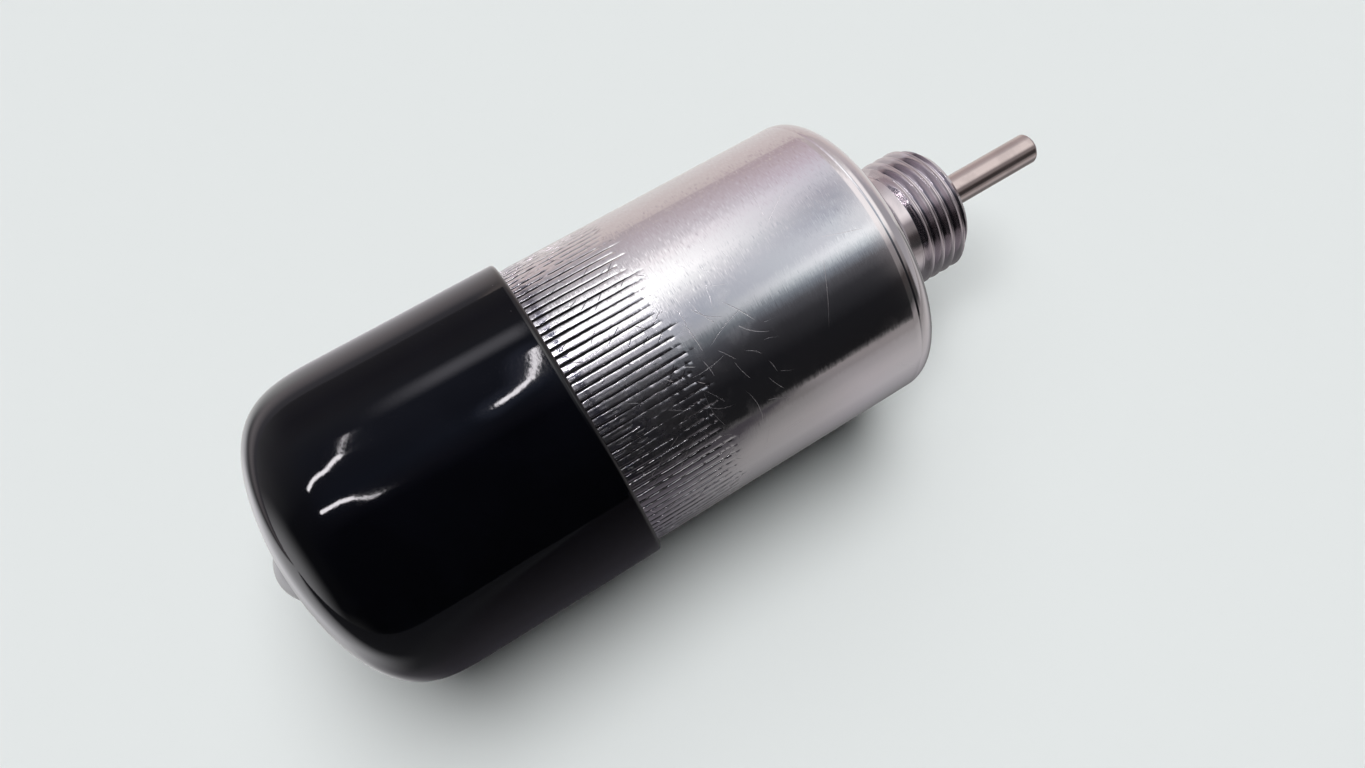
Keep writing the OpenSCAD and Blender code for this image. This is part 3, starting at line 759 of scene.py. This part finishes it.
def build_housing():
    """Drawn housing: front wall, shoulder, knurled band with ragged grooves, rolled rim."""
    s = sizes("housing")
    chance = np.random.default_rng(11)
    pitch = TURN * s.radius / s.grooves
    half = s.groove_width / 2
    # Half of a groove's section: distance from its middle, share of its depth, share of the painted
    # shade
    section = [(half * 0.55, 1.0, 1.0), (half * 0.88, 0.50, 0.9), (half + 0.018, 0.07, 0.1),
               (half + 0.05, 0.01, 0.0), (0.34, 0.0, 0.0)]
    mirrored = [(-away, deep, painted_shade) for away, deep, painted_shade in reversed(section)]
    offset, share, painted_shade = np.array(mirrored + section + [(pitch / 2, 0.0, 0.0)]).T
    column = np.arange(len(offset))
    middle = column == len(offset) - 1
    centres = math.pi + np.arange(s.grooves) * TURN / s.grooves
    inner = s.radius - s.wall
    lip = inner - s.rim_lip
    roll = s.wall * 0.8

    profile = [(-s.front_wall, s.hole), (-0.12, s.hole), (0.0, s.hole + 0.12),
               (0.0, s.hole + 2.0), (0.0, s.radius - s.shoulder - 0.3)]
    profile += arc(-s.shoulder, s.radius - s.shoulder, s.shoulder, 0, 90, 18)
    crease, crease_depth = -s.shoulder, 0.022
    profile += [(crease - 0.12, s.radius), (crease - 0.2, s.radius - crease_depth),
                (crease - 0.27, s.radius - crease_depth), (crease - 0.37, s.radius),
                (crease - 0.9, s.radius)]
    knurl_from, cover, knurl_to = s.knurl_front + 1.5, -38.4, s.knurl_rear - 0.4
    tube = np.concatenate([np.linspace(crease - 1.5, knurl_from + 0.4, 20),
                           np.arange(knurl_from, cover, -0.2), np.arange(cover, knurl_to, -0.7),
                           [knurl_to, s.rear + roll + 0.4]])
    profile += [(x, s.radius) for x in tube]
    profile += arc(s.rear + roll, s.radius - roll, roll, 90, 180, 8)
    profile += [(s.rear, lip + 0.1), (s.rear + 0.1, lip), (s.rear + s.wall, lip),
                (s.rear + s.wall, inner), (-s.front_wall - 0.01, inner),
                (-s.front_wall, inner - 0.01)]
    rows = len(profile)
    along, radius = np.array(profile).T[:, :, None, None]
    on_wall = (np.abs(radius - s.radius) < 1e-4) & (along < knurl_from)

    turned_to = ((np.degrees(centres) + 180) % 360 - 180)[None, :, None]
    number = np.arange(s.grooves)[None, :, None]

    def drift(stretch, seed, column=0.0):
        """Slow noise along each groove."""
        place = np.stack(np.broadcast_arrays(along * stretch, number * 3.7, column), -1)
        return slow_noise(place, 1.0, seed)

    # Grooves start at uneven places, and are shallow where the knurl is worn
    ends = s.knurl_front + chance.uniform(-1.0, 0.7, s.grooves)
    ends += 0.3 * np.sin(centres * 2 + 0.6)
    run = ends[None, :, None] - along
    wobble, broken = drift(0.7, 2), drift(1.3, 9)
    worn = bell(turned_to, 36.0, 15.0) * bell(along, -31.5, 3.6)
    top = bell(turned_to, -38.0, 14.0) * bell(along, -33.0, 4.0)
    fade = np.clip(1.0 - 1.3 * worn * (0.8 + 0.6 * wobble), 0.0, 1.0)
    fade *= np.clip(1.0 - 1.6 * top * (0.35 + broken), 0.0, 1.0)
    width = np.clip(0.30 + 0.80 * run / 10.0, 0.0, 1.1) * np.clip(run / 2.4, 0.0, 1.0)
    width *= 0.55 + 0.45 * fade
    width *= 1.0 - 0.35 * smooth((turned_to - 6.0) / 12.0) * (0.6 + 0.8 * np.abs(broken))
    width *= 1.0 + 0.16 * wobble
    depth = np.clip(run / 1.6, 0.0, 1.0) * smooth((along - s.knurl_rear) / 0.7)
    depth *= np.clip(0.5 + run / 9.0, 0.0, 1.0)
    depth *= fade * np.clip(1.0 + 0.3 * wobble, 0.4, 1.0)

    inside = np.abs(offset) < 0.33
    jitter = drift(3.5, 8, column * 1.7)
    moved = np.where(inside, offset * np.clip(width, 0.02, None), offset)
    moved = moved + np.where(inside, 0.03 * drift(1.2, 5) + 0.012 * jitter, 0.0)
    moved = np.where(on_wall, moved, offset)
    # A second, fainter groove between the others on the lower side
    doubled = bell(turned_to, 34.0, 12.0) * smooth((-32.5 - along) / 2.0)
    doubled = doubled * (along > s.knurl_rear + 0.5) * smooth(0.6 + broken)
    sunk = share * depth * s.groove_depth + np.where(middle, doubled * 0.09, 0.0)
    tips = 0.035 * smooth((-36.1 - along) / 0.8)
    sunk = np.where(on_wall, sunk + 0.004 * (1 + jitter) * smooth(run / 2.0) + tips, 0.0)
    # Painted shade: darkens each groove with its depth, and the fainter second grooves
    groove_shade = painted_shade * np.clip(depth * 2.2, 0, 1) + np.where(middle, doubled * 0.9, 0.0)
    groove_shade = np.where(on_wall, groove_shade, 0.0)
    rings = ring_points(along, radius - sunk, centres[None, :, None] + moved / s.radius)
    return loft("housing_shell", rings.reshape(rows, -1, 3), closed=True, sharp=50.0,
                masks={"groove_grime": groove_shade.reshape(rows, -1)})


def build_neck():
    """Threaded neck: pole flange, spigot with its flare, relief and a true helical thread."""
    s = sizes("neck")
    steps = 30
    angles = round_angles(240)
    rise = s.pitch * angles / TURN
    start, stop = s.relief_end - 0.25, s.front
    crest_half, root_half = s.pitch / 26, s.pitch / 11
    chamfer_at = s.front - s.chamfer_length

    def thread(x):
        """Radius of the screw thread at places along the axis, for every column."""
        phase = (x - s.first_crest - rise) / s.pitch
        away = np.abs(phase - np.round(phase)) * s.pitch
        share = (away - crest_half) / (s.pitch / 2 - crest_half - root_half)
        fall = 0.75 * np.clip(share, 0, 1) + 0.25 * smooth(share)
        radius = s.crest_radius - (s.crest_radius - s.root_radius) * fall
        run_in = s.relief_radius + np.clip(x - s.relief_end + 0.15, 0, None) * 1.6
        run_out = s.crest_radius - np.clip(x - chamfer_at, 0, None) * (
            s.chamfer_depth / s.chamfer_length)
        return np.minimum(np.minimum(np.maximum(radius, 0), run_out), np.maximum(
            run_in, s.relief_radius))

    screw = []
    count = math.ceil((stop - start) / s.pitch * steps) + 2 * steps
    for k in range(count):
        x = start - s.pitch + s.pitch * k / steps + rise
        x = np.clip(x, start, stop)
        screw.append(ring_points(x, thread(x), angles))

    flare = s.spigot_radius - s.relief_radius
    outline = [(s.rear, TUBE_HIGH.z + 0.03), (s.rear, s.flange_radius - 0.15),
               (s.rear + 0.15, s.flange_radius), (s.flange_front - 0.15, s.flange_radius),
               (s.flange_front, s.flange_radius - 0.15), (s.flange_front, s.spigot_radius),
               (0.0, s.spigot_radius), (0.4, s.spigot_radius), (0.9, s.spigot_radius),
               (s.spigot_length - 0.7, s.spigot_radius),
               (s.spigot_length - 0.12, s.spigot_radius)]
    outline += [(x, r) for x, r in arc(s.spigot_length + flare, s.spigot_radius, flare,
                                       180, 270, 12)][1:]
    outline += [(start - 0.5, s.relief_radius), (start, s.relief_radius)]
    before = [ring_points(x, r, angles) for x, r in outline]
    bore = BUSH_HIGH.z + 0.03
    inner = [(s.front, s.crest_radius - s.chamfer_depth - 0.02),
             (s.front, s.pocket_radius + 0.15), (s.front - 0.15, s.pocket_radius),
             (BUSH_HIGH.x + 0.03, s.pocket_radius), (BUSH_HIGH.x + 0.03, bore),
             (TUBE_HIGH.x + 0.03, bore), (TUBE_HIGH.x + 0.03, TUBE_HIGH.z + 0.03)]
    after = [ring_points(x, r, angles) for x, r in inner]
    first = len(before)
    return loft("neck_screw", before + screw + after, closed=True, sharp=26.0,
                helix=(first, first + count - 1, steps))


def build_pin():
    """Ground push pin with its chamfered tip, guided part and root."""
    tip, root, root_r = PIN_HIGH.x, PIN_LOW.x, PIN_HIGH.z
    free, guided = 1.965, 2.15
    step, stand = tip - 14.0, -5.09
    profile = [(root, 0.0), (root, root_r - 0.2), (root + 0.2, root_r), (stand - 0.1, root_r),
               (stand, root_r - 0.1), (stand, guided)]
    profile += [(x, guided) for x in np.linspace(stand + 0.3, step - 0.3, 8)]
    profile += [(step - 0.12, guided), (step, free)]
    profile += [(x, free) for x in np.linspace(step + 0.4, tip - 0.5, 12)]
    profile += [(tip - 0.4, free), (tip - 0.36, free - 0.02), (tip - 0.04, free - 0.36),
                (tip, free - 0.4), (tip, 0.0)]
    angles = round_angles(96)
    return loft("push_pin_ground", [ring_points(x, r, angles) for x, r in profile], sharp=30.0)


def build_cap():
    """Dipped vinyl cap: full rounded end, broad drip nub and a slightly skewed rim."""
    s = sizes("cap")
    inner = s.radius - s.wall
    corner = 7.2
    base = s.tip + s.nub_height
    apex = base - s.crown
    start = apex + s.round_length
    outside = [(apex + s.round_length * (1 - (1 - (r / s.radius) ** s.squareness)
                                         ** (1 / s.squareness)), r)
               for r in np.linspace(0.0, s.radius * 0.8, 52)]
    outside += [(start - s.round_length * u,
                 s.radius * (1 - u ** s.squareness) ** (1 / s.squareness))
                for u in np.linspace(0.865, 0.0, 34)]
    outside += [(x, s.radius) for x in np.linspace(start + 0.4, s.rim - s.rim_radius - 0.2, 56)]
    outside += arc(s.rim - s.rim_radius, s.radius - s.rim_radius, s.rim_radius, 90, 0, 8)
    inside = [(s.rim, inner + 0.05), (s.rim - 0.05, inner), (s.rim - 1.0, inner),
              (base + corner, inner)]
    inside += arc(base + corner, s.radius - corner, corner - s.wall, 90, 180, 10)[1:]
    inside += [(base + s.wall, (s.radius - corner) * f) for f in (0.6, 0.3, 0.0)]
    along, radius = np.array(outside + inside).T[:, :, None]
    points = ring_points(along, radius, round_angles(288)) / MM
    skin = (np.arange(len(along)) < len(outside))[:, None]

    away = np.hypot(points[..., 1] + 0.6, points[..., 2] - s.nub_offset) / s.nub_radius
    drop = np.cos(np.clip(away, 0, 1) * math.pi / 2) ** 1.2
    closed_end = skin & (along < base + 2.0)
    points[..., 0] -= np.where(closed_end, (s.nub_height - s.crown) * drop, 0.0)
    low_side = smooth(-points[..., 1] / s.radius) * smooth((start - 4.0 - along) / 6.0)
    points[..., 0] += np.where(skin, 0.35 * low_side, 0.0)

    wave = slow_noise(points * np.array([0.7, 1.0, 1.0]), 0.085, 3)
    wave = 0.7 * wave + 0.3 * slow_noise(points, 0.2, 6)
    settled = smooth((s.rim - 5.0 - along) / 8.0)
    on_side = skin & (along > apex + 3.0)
    inward = np.where(on_side, s.waviness * settled * (0.5 + 0.5 * wave), 0.0)
    length = np.maximum(np.hypot(points[..., 1], points[..., 2]), 1e-6)
    shrink = 1 - inward / length
    points[..., 1] *= shrink
    points[..., 2] *= shrink
    lean = (points[..., 1] * 0.75 + points[..., 2] * 0.66) / s.radius
    reach = smooth((points[..., 0] - s.rim + 8.0) / 8.0)
    points[..., 0] -= reach * (1 + lean) * 0.5 * math.tan(s.rim_skew) * s.radius
    return loft("cap_skin", points * MM, sharp=50.0)


def build_spring():
    """Coiled return spring with a closed turn at each end."""
    s = sizes("spring")
    around, per_turn = 14, 36
    count = s.turns * per_turn
    middle = s.radius - s.wire / 2
    closed = 1.05 * s.wire
    first, last = s.rear + s.wire / 2, s.front - s.wire / 2
    turns = np.linspace(0, s.turns, count + 1)
    open_turns = first + closed + (last - first - 2 * closed) * (turns - 1) / (s.turns - 2)
    x = np.where(turns < 1, first + closed * turns,
                 np.where(turns > s.turns - 1, last - closed * (s.turns - turns), open_turns))
    wire = round_angles(around)
    taper = np.minimum(1.0, 0.02 + np.minimum(turns, s.turns - turns) * 40)[:, None]
    r = middle + taper * s.wire / 2 * np.cos(wire)[None, :]
    a = (turns * TURN)[:, None]
    points = np.stack([x[:, None] + taper * s.wire / 2 * np.sin(wire)[None, :],
                       r * np.cos(a), r * np.sin(a)], axis=-1) * MM
    return loft("return_spring_wire", points, sharp=60.0)


# ---------------------------------------------------------------- stage

# Colours of the surroundings for each band of sides, by lift in degrees
SKY = {
    "rear": (
        (-110, 0.40, 0.38, 0.40), (-60, 0.30, 0.29, 0.31), (-34, 0.20, 0.20, 0.22),
        (-16, 0.07, 0.07, 0.08), (74, 0.03), (100, 0.25)),
    "flank": (
        (-95, 0.30, 0.29, 0.31), (-60, 0.24, 0.23, 0.26), (-34, 0.16, 0.16, 0.19),
        (-16, 0.08, 0.08, 0.10), (-5, 0.07, 0.07, 0.09), (20, 0.02, 0.02, 0.03), (86, 0.01),
        (95, 0.05)),
    "cap": (
        (-100, 0.30, 0.28, 0.30), (-88, 0.16, 0.15, 0.17), (-72, 0.14, 0.13, 0.16),
        (-62, 0.18, 0.17, 0.20), (-55, 0.20, 0.20, 0.24), (-40, 0.15, 0.16, 0.22),
        (-20, 0.12, 0.13, 0.19), (-8, 0.11, 0.13, 0.20), (3, 0.07, 0.07, 0.10),
        (11, 0.02, 0.02, 0.03), (100, 0.01)),
    "knurl": (
        (-100, 0.50, 0.46, 0.47), (-75, 0.44, 0.42, 0.45), (-57, 0.62, 0.60, 0.63),
        (-45, 1.45, 1.42, 1.45), (-30, 2.2), (-20, 2.1, 2.1, 2.12), (-12, 1.4, 1.4, 1.45),
        (-3, 0.80, 0.80, 0.85), (6, 0.48, 0.47, 0.51), (16, 0.26, 0.26, 0.28),
        (26, 0.07, 0.07, 0.08), (42, 0.018, 0.018, 0.02), (86, 0.012, 0.012, 0.013), (94, 0.20)),
    "rear_body": (
        (-100, 0.52, 0.47, 0.47), (-88, 0.50, 0.43, 0.45), (-73, 0.59, 0.52, 0.56),
        (-57, 0.74, 0.70, 0.74), (-49, 1.06, 1.0, 1.03), (-40, 1.20, 1.19, 1.20), (-30, 1.38),
        (-22, 1.12, 1.13, 1.14), (-13, 0.81, 0.81, 0.85), (-5, 0.51, 0.53, 0.59),
        (5, 0.42, 0.45, 0.51), (14, 0.44, 0.46, 0.49), (20, 0.17, 0.19, 0.21),
        (29, 0.075, 0.078, 0.09), (40, 0.032, 0.032, 0.036), (58, 0.011, 0.011, 0.013),
        (86, 0.012, 0.012, 0.013), (94, 0.22, 0.21, 0.21)),
    "front_body": (
        (-100, 0.54, 0.46, 0.46), (-86, 0.50, 0.40, 0.43), (-73, 0.59, 0.50, 0.54),
        (-62, 0.65, 0.57, 0.64), (-50, 0.73, 0.71, 0.78), (-41, 0.67, 0.67, 0.73),
        (-31, 0.49, 0.49, 0.55), (-22, 0.43, 0.45, 0.51), (-13, 0.48, 0.51, 0.58),
        (-5, 0.70, 0.74, 0.79), (5, 0.76, 0.79, 0.84), (12, 1.06, 1.10, 1.13),
        (18, 0.66, 0.72, 0.76), (23, 0.26, 0.29, 0.33), (30, 0.10, 0.10, 0.11),
        (40, 0.035, 0.035, 0.04), (60, 0.012, 0.012, 0.014), (86, 0.010, 0.010, 0.011),
        (94, 0.24, 0.23, 0.23)),
    "pin": (
        (-100, 0.54, 0.47, 0.47), (-62, 0.56, 0.50, 0.51), (-46, 0.70, 0.66, 0.67),
        (-32, 1.05, 1.0, 1.0), (10, 1.10, 1.05, 1.04), (20, 0.85, 0.80, 0.80),
        (30, 0.32, 0.29, 0.30), (46, 0.24, 0.22, 0.22), (56, 0.06, 0.05, 0.05), (78, 0.05),
        (92, 0.38, 0.34, 0.35)),
    "ahead": (
        (-105, 0.64, 0.58, 0.58), (-60, 0.56, 0.50, 0.52), (-30, 0.40, 0.38, 0.41),
        (50, 0.38, 0.36, 0.38), (95, 0.50, 0.47, 0.48)),
}
# Where each band fades into the next, by side in degrees
SKY_STEPS = (("flank", -52.0, -34.0), ("cap", -34.0, -16.0), ("knurl", 2.4, 4.0),
             ("rear_body", 6.0, 12.5), ("front_body", 13.0, 24.5), ("pin", 25.5, 28.5),
             ("ahead", 38.0, 48.0))
LIFT_REACH = 120.0
BACKDROP = (0.78, 0.81, 0.81)
FLOOR_REACH = 4.0
LAMP_STRENGTH, FRAME_STRENGTH = 19.0, 1.6


def studio_world():
    """Soft surroundings for the reflections, and a plain pale backdrop for the camera.

    A direction is named by its lift, the angle round the part's axis from straight up, and
    by its side, the angle that it leans towards the part's front."""
    world = bpy.data.worlds.new("studio")
    bpy.context.scene.world = world
    world.use_nodes = True
    world.node_tree.nodes.clear()
    net = Net(world.node_tree)
    x, y, z = net.parts(net.node("ShaderNodeTexCoord", {}, "Generated"))
    lift = net.math("DEGREES", net.math("ARCTAN2", y * -1.0, z))
    side = net.math("DEGREES", net.math("ARCSINE", x))
    turn = net.fit(lift, -LIFT_REACH, LIFT_REACH, smooth=False)

    def band(name):
        return net.ramp(turn, [((degrees + LIFT_REACH) / (2 * LIFT_REACH), *shade)
                               for degrees, *shade in SKY[name]])

    sky = net.mix(net.fit(side, -56.0, -84.0), band("rear"), (1.95, 1.93, 2.0))
    for name, start, end in SKY_STEPS:
        fade = net.fit(side, start, end, smooth=name != "front_body")
        sky = net.mix(fade, sky, band(name))

    def tube(start, end, width, stretch):
        """Brightness of a short strip light between two directions (lift, side)."""
        dx, dy = end[0] - start[0], (end[1] - start[1]) * stretch
        px, py = lift - start[0], (side - start[1]) * stretch
        t = net.math("DIVIDE", px * dx + py * dy, dx * dx + dy * dy, clamp=True)
        qx, qy = px - t * dx, py - t * dy
        return net.fit(net.math("SQRT", qx * qx + qy * qy), width, width * 0.35)

    def strips(path, width, stretch=4.0):
        """A bent strip light through several directions."""
        glow = None
        for start, end in zip(path, path[1:]):
            mask = tube(start, end, width, stretch)
            glow = mask if glow is None else glow | mask
        return glow

    hook = strips([(-29.0, 1.7), (-20.0, 1.3), (-13.0, 0.5), (-10.0, -1.0), (-9.0, -2.6)], 1.9)
    snake = (strips([(-41.0, -12.0), (-36.0, -12.6), (-30.0, -13.3)], 1.0, 9.0)
             | strips([(-30.0, -13.4), (-26.5, -15.8), (-26.0, -20.5), (-22.5, -25.0)], 2.0, 3.0))
    bar = (strips([(3.4, -12.1), (0.6, -12.9), (-3.0, -14.2)], 1.0, 5.0)
           | strips([(-3.0, -14.4), (-4.6, -16.5), (-5.2, -25.0)], 1.8, 2.2))
    halo = strips([(-29.0, 1.0), (-12.0, 0.2), (-9.0, -3.0)], 9.0) * net.fit(side, 3.0, 1.5)
    frame_line = net.fit(net.math("ABSOLUTE", lift + 46.5), 8.0, 0.5)
    frame_line = frame_line * net.fit(side, -11.0, -4.0) * net.fit(side, 2.8, 1.0)
    light = net.vector("SCALE", (1.0, 0.96, 1.0), scale=(hook | (snake | bar)) * LAMP_STRENGTH)
    for tint, strength in (((0.72, 0.70, 0.76), frame_line * FRAME_STRENGTH),
                           ((0.16, 0.18, 0.26), halo)):
        light = net.vector("ADD", light, net.vector("SCALE", tint, scale=strength))
    sky = net.vector("ADD", sky, light)

    path, direct = net.first_sight()
    shown = net.mix(net.take(path, "Is Camera Ray"), sky, BACKDROP)
    back = net.node("ShaderNodeBackground", {"Color": shown, "Strength": direct})
    net.fill(net.add("ShaderNodeOutputWorld"), {"Surface": back})
    world.cycles_visibility.diffuse = False
    return world


def soft_sun(name, lift, side, strength, spread):
    """A broad soft light from an angle round the axis and an angle along it, in degrees."""
    data = bpy.data.lights.new(name, "SUN")
    data.energy = strength
    data.angle = math.radians(spread)
    lamp = bpy.data.objects.new(name, data)
    lift, side = math.radians(lift), math.radians(side)
    towards = Vector((math.sin(side), -math.sin(lift) * math.cos(side),
                      math.cos(lift) * math.cos(side)))
    lamp.rotation_euler = towards.to_track_quat("Z", "Y").to_euler()
    lamp.visible_glossy = False
    bpy.context.scene.collection.objects.link(lamp)
    return lamp


class SOLENOID_OT_stage(bpy.types.Operator):
    """Adds the camera, the pale floor and the soft lights"""
    bl_idname = "solenoid.stage"
    bl_label = "Stage"

    def execute(self, context):
        studio = sizes("studio")
        scene = context.scene
        camera = bpy.data.objects.new("camera", bpy.data.cameras.new("camera"))
        scene.collection.objects.link(camera)
        camera.location = studio.camera_place
        ahead = Vector(studio.camera_aim) - Vector(studio.camera_place)
        camera.rotation_euler = ahead.to_track_quat("-Z", "Y").to_euler()
        camera.data.lens = studio.lens
        camera.data.sensor_width = 36.0
        camera.data.clip_start = 0.005
        camera.data.clip_end = 20.0
        scene.camera = camera
        scene.view_settings.view_transform = "Standard"

        mesh = bpy.data.meshes.new("floor")
        cells = bmesh.new()
        bmesh.ops.create_grid(cells, x_segments=8, y_segments=8, size=FLOOR_REACH)
        cells.to_mesh(mesh)
        cells.free()
        floor = bpy.data.objects.new("floor", mesh)
        scene.collection.objects.link(floor)
        cap_rest = 12.0
        tilt = math.atan2(CAP_HIGH.z - HOUSING_HIGH.z, -CAP_LOW.x - cap_rest)
        floor.rotation_euler = (0.0, -tilt, 0.0)
        floor.location = (0.0, 0.0, -(HOUSING_HIGH.z - 0.02) * MM)
        floor.data.materials.append(floor_finish())
        studio_world()
        soft_sun("key", lift=-11.0, side=10.0, strength=studio.key, spread=45.0)
        soft_sun("fill", lift=-36.0, side=12.0, strength=studio.fill, spread=55.0)
        return {"FINISHED"}


def dress(material, *nodes):
    """Gives CAD nodes a finish."""
    for node in nodes:
        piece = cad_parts[node]
        piece.data.materials.clear()
        piece.data.materials.append(material)


def stand_in(piece, node, body, material):
    """Puts a detailed piece in a CAD node's place."""
    piece.data.materials.append(material)
    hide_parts(node)
    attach(piece, body)
    return piece


class SOLENOID_OT_housing(bpy.types.Operator):
    """Builds the knurled housing in bright zinc plate"""
    bl_idname = "solenoid.housing"
    bl_label = "Housing"

    def execute(self, context):
        stand_in(build_housing(), "housing", BODY, housing_finish())
        return {"FINISHED"}


class SOLENOID_OT_neck(bpy.types.Operator):
    """Builds the neck with its screw thread"""
    bl_idname = "solenoid.neck"
    bl_label = "Threaded neck"

    def execute(self, context):
        look = sizes("finishes")
        finish = metal_finish("neck_zinc", look.neck_zinc, thread_roots)
        stand_in(build_neck(), "threaded_neck", BODY, finish)
        return {"FINISHED"}


class SOLENOID_OT_pin(bpy.types.Operator):
    """Builds the ground push pin"""
    bl_idname = "solenoid.pin"
    bl_label = "Push pin"

    def execute(self, context):
        look = sizes("finishes")
        finish = metal_finish("pin_steel", look.pin, chamfer_shade)
        stand_in(build_pin(), "push_pin", PLUNGER, finish)
        return {"FINISHED"}


class SOLENOID_OT_cap(bpy.types.Operator):
    """Builds the dipped vinyl cap"""
    bl_idname = "solenoid.cap"
    bl_label = "Vinyl cap"

    def execute(self, context):
        stand_in(build_cap(), "vinyl_cap", CAP, vinyl_finish())
        return {"FINISHED"}


class SOLENOID_OT_spring(bpy.types.Operator):
    """Builds the return spring"""
    bl_idname = "solenoid.spring"
    bl_label = "Return spring"

    def execute(self, context):
        look = sizes("finishes")
        finish = metal_finish("spring_wire", look.spring)
        spring = stand_in(build_spring(), "return_spring", BODY, finish)
        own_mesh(spring)
        return {"FINISHED"}


class SOLENOID_OT_iron(bpy.types.Operator):
    """Finishes the plunger, core, flux plate and steel washers"""
    bl_idname = "solenoid.iron"
    bl_label = "Plunger, core and washers"

    def execute(self, context):
        look = sizes("finishes")
        dress(metal_finish("turned_iron", look.iron),
              "plunger", "rear_core", "flux_plate")
        dress(metal_finish("spring_strip", look.spring),
              "wave_washer", "seal_washer", "cross_pin")
        return {"FINISHED"}


class SOLENOID_OT_guide(bpy.types.Operator):
    """Finishes the guide bush, tube, wiper seal and stop washer"""
    bl_idname = "solenoid.guide"
    bl_label = "Guide and seal"

    def execute(self, context):
        look = sizes("finishes")
        dress(metal_finish("sintered_bronze", look.bronze), "guide_bush")
        dress(metal_finish("drawn_brass", look.brass), "guide_tube")
        dress(moulded_finish("seal_rubber", look.rubber), "wiper_seal")
        dress(moulded_finish("red_fibre", look.fibre), "stop_washer")
        return {"FINISHED"}


class SOLENOID_OT_coil(bpy.types.Operator):
    """Finishes the bobbin, winding, tape, leads and sleeves"""
    bl_idname = "solenoid.coil"
    bl_label = "Coil"

    def execute(self, context):
        look = sizes("finishes")
        dress(moulded_finish("natural_nylon", look.nylon), "coil_bobbin", "lead_sleeves")
        dress(winding_finish(), "coil_winding")
        dress(metal_finish("lead_copper", look.copper), "lead_wires")
        dress(moulded_finish("amber_tape", look.tape), "winding_tape")
        return {"FINISHED"}


class SOLENOID_OT_terminals(bpy.types.Operator):
    """Finishes the terminal plate, gasket, blades and rivets"""
    bl_idname = "solenoid.terminals"
    bl_label = "Terminals"

    def execute(self, context):
        look = sizes("finishes")
        dress(moulded_finish("paper_phenolic", look.phenolic), "terminal_plate")
        dress(moulded_finish("gasket_rubber", look.rubber), "plate_gasket")
        dress(metal_finish("blade_brass", look.brass),
              "left_terminal", "right_terminal", "terminal_rivets")
        return {"FINISHED"}


class SOLENOID_PT_sidebar(bpy.types.Panel):
    """Lists the sizes, the finishes and the builders"""
    bl_idname = "SOLENOID_PT_sidebar"
    bl_label = "Push-pull solenoid"
    bl_space_type = "VIEW_3D"
    bl_region_type = "UI"
    bl_category = "Solenoid"

    def draw(self, context):
        for operator in OPERATORS:
            self.layout.operator(operator.bl_idname)
        for part, group in GROUPS.items():
            box = self.layout.box()
            box.label(text=part.capitalize())
            for prop in group.__annotations__:
                box.prop(sizes(part), prop)


GROUPS = {
    "housing": SolenoidHousingSizes,
    "neck": SolenoidNeckSizes,
    "cap": SolenoidCapSizes,
    "spring": SolenoidSpringSizes,
    "finishes": SolenoidFinishes,
    "studio": SolenoidStudio,
}
OPERATORS = (
    SOLENOID_OT_stage, SOLENOID_OT_housing, SOLENOID_OT_neck, SOLENOID_OT_pin,
    SOLENOID_OT_cap, SOLENOID_OT_spring, SOLENOID_OT_iron, SOLENOID_OT_guide,
    SOLENOID_OT_coil, SOLENOID_OT_terminals,
)


def register():
    for group in GROUPS.values():
        bpy.utils.register_class(group)
    for part, group in GROUPS.items():
        setattr(bpy.types.Scene, "solenoid_" + part, PointerProperty(type=group))
    for operator in OPERATORS:
        bpy.utils.register_class(operator)
    bpy.utils.register_class(SOLENOID_PT_sidebar)


def unregister():
    bpy.utils.unregister_class(SOLENOID_PT_sidebar)
    for operator in reversed(OPERATORS):
        bpy.utils.unregister_class(operator)
    for part, group in GROUPS.items():
        delattr(bpy.types.Scene, "solenoid_" + part)
        bpy.utils.unregister_class(group)


def main():
    register()
    bpy.ops.solenoid.stage()
    bpy.ops.solenoid.housing()
    bpy.ops.solenoid.neck()
    bpy.ops.solenoid.pin()
    bpy.ops.solenoid.cap()
    bpy.ops.solenoid.spring()
    bpy.ops.solenoid.iron()
    bpy.ops.solenoid.guide()
    bpy.ops.solenoid.coil()
    bpy.ops.solenoid.terminals()


if __name__ == "__main__":
    main()
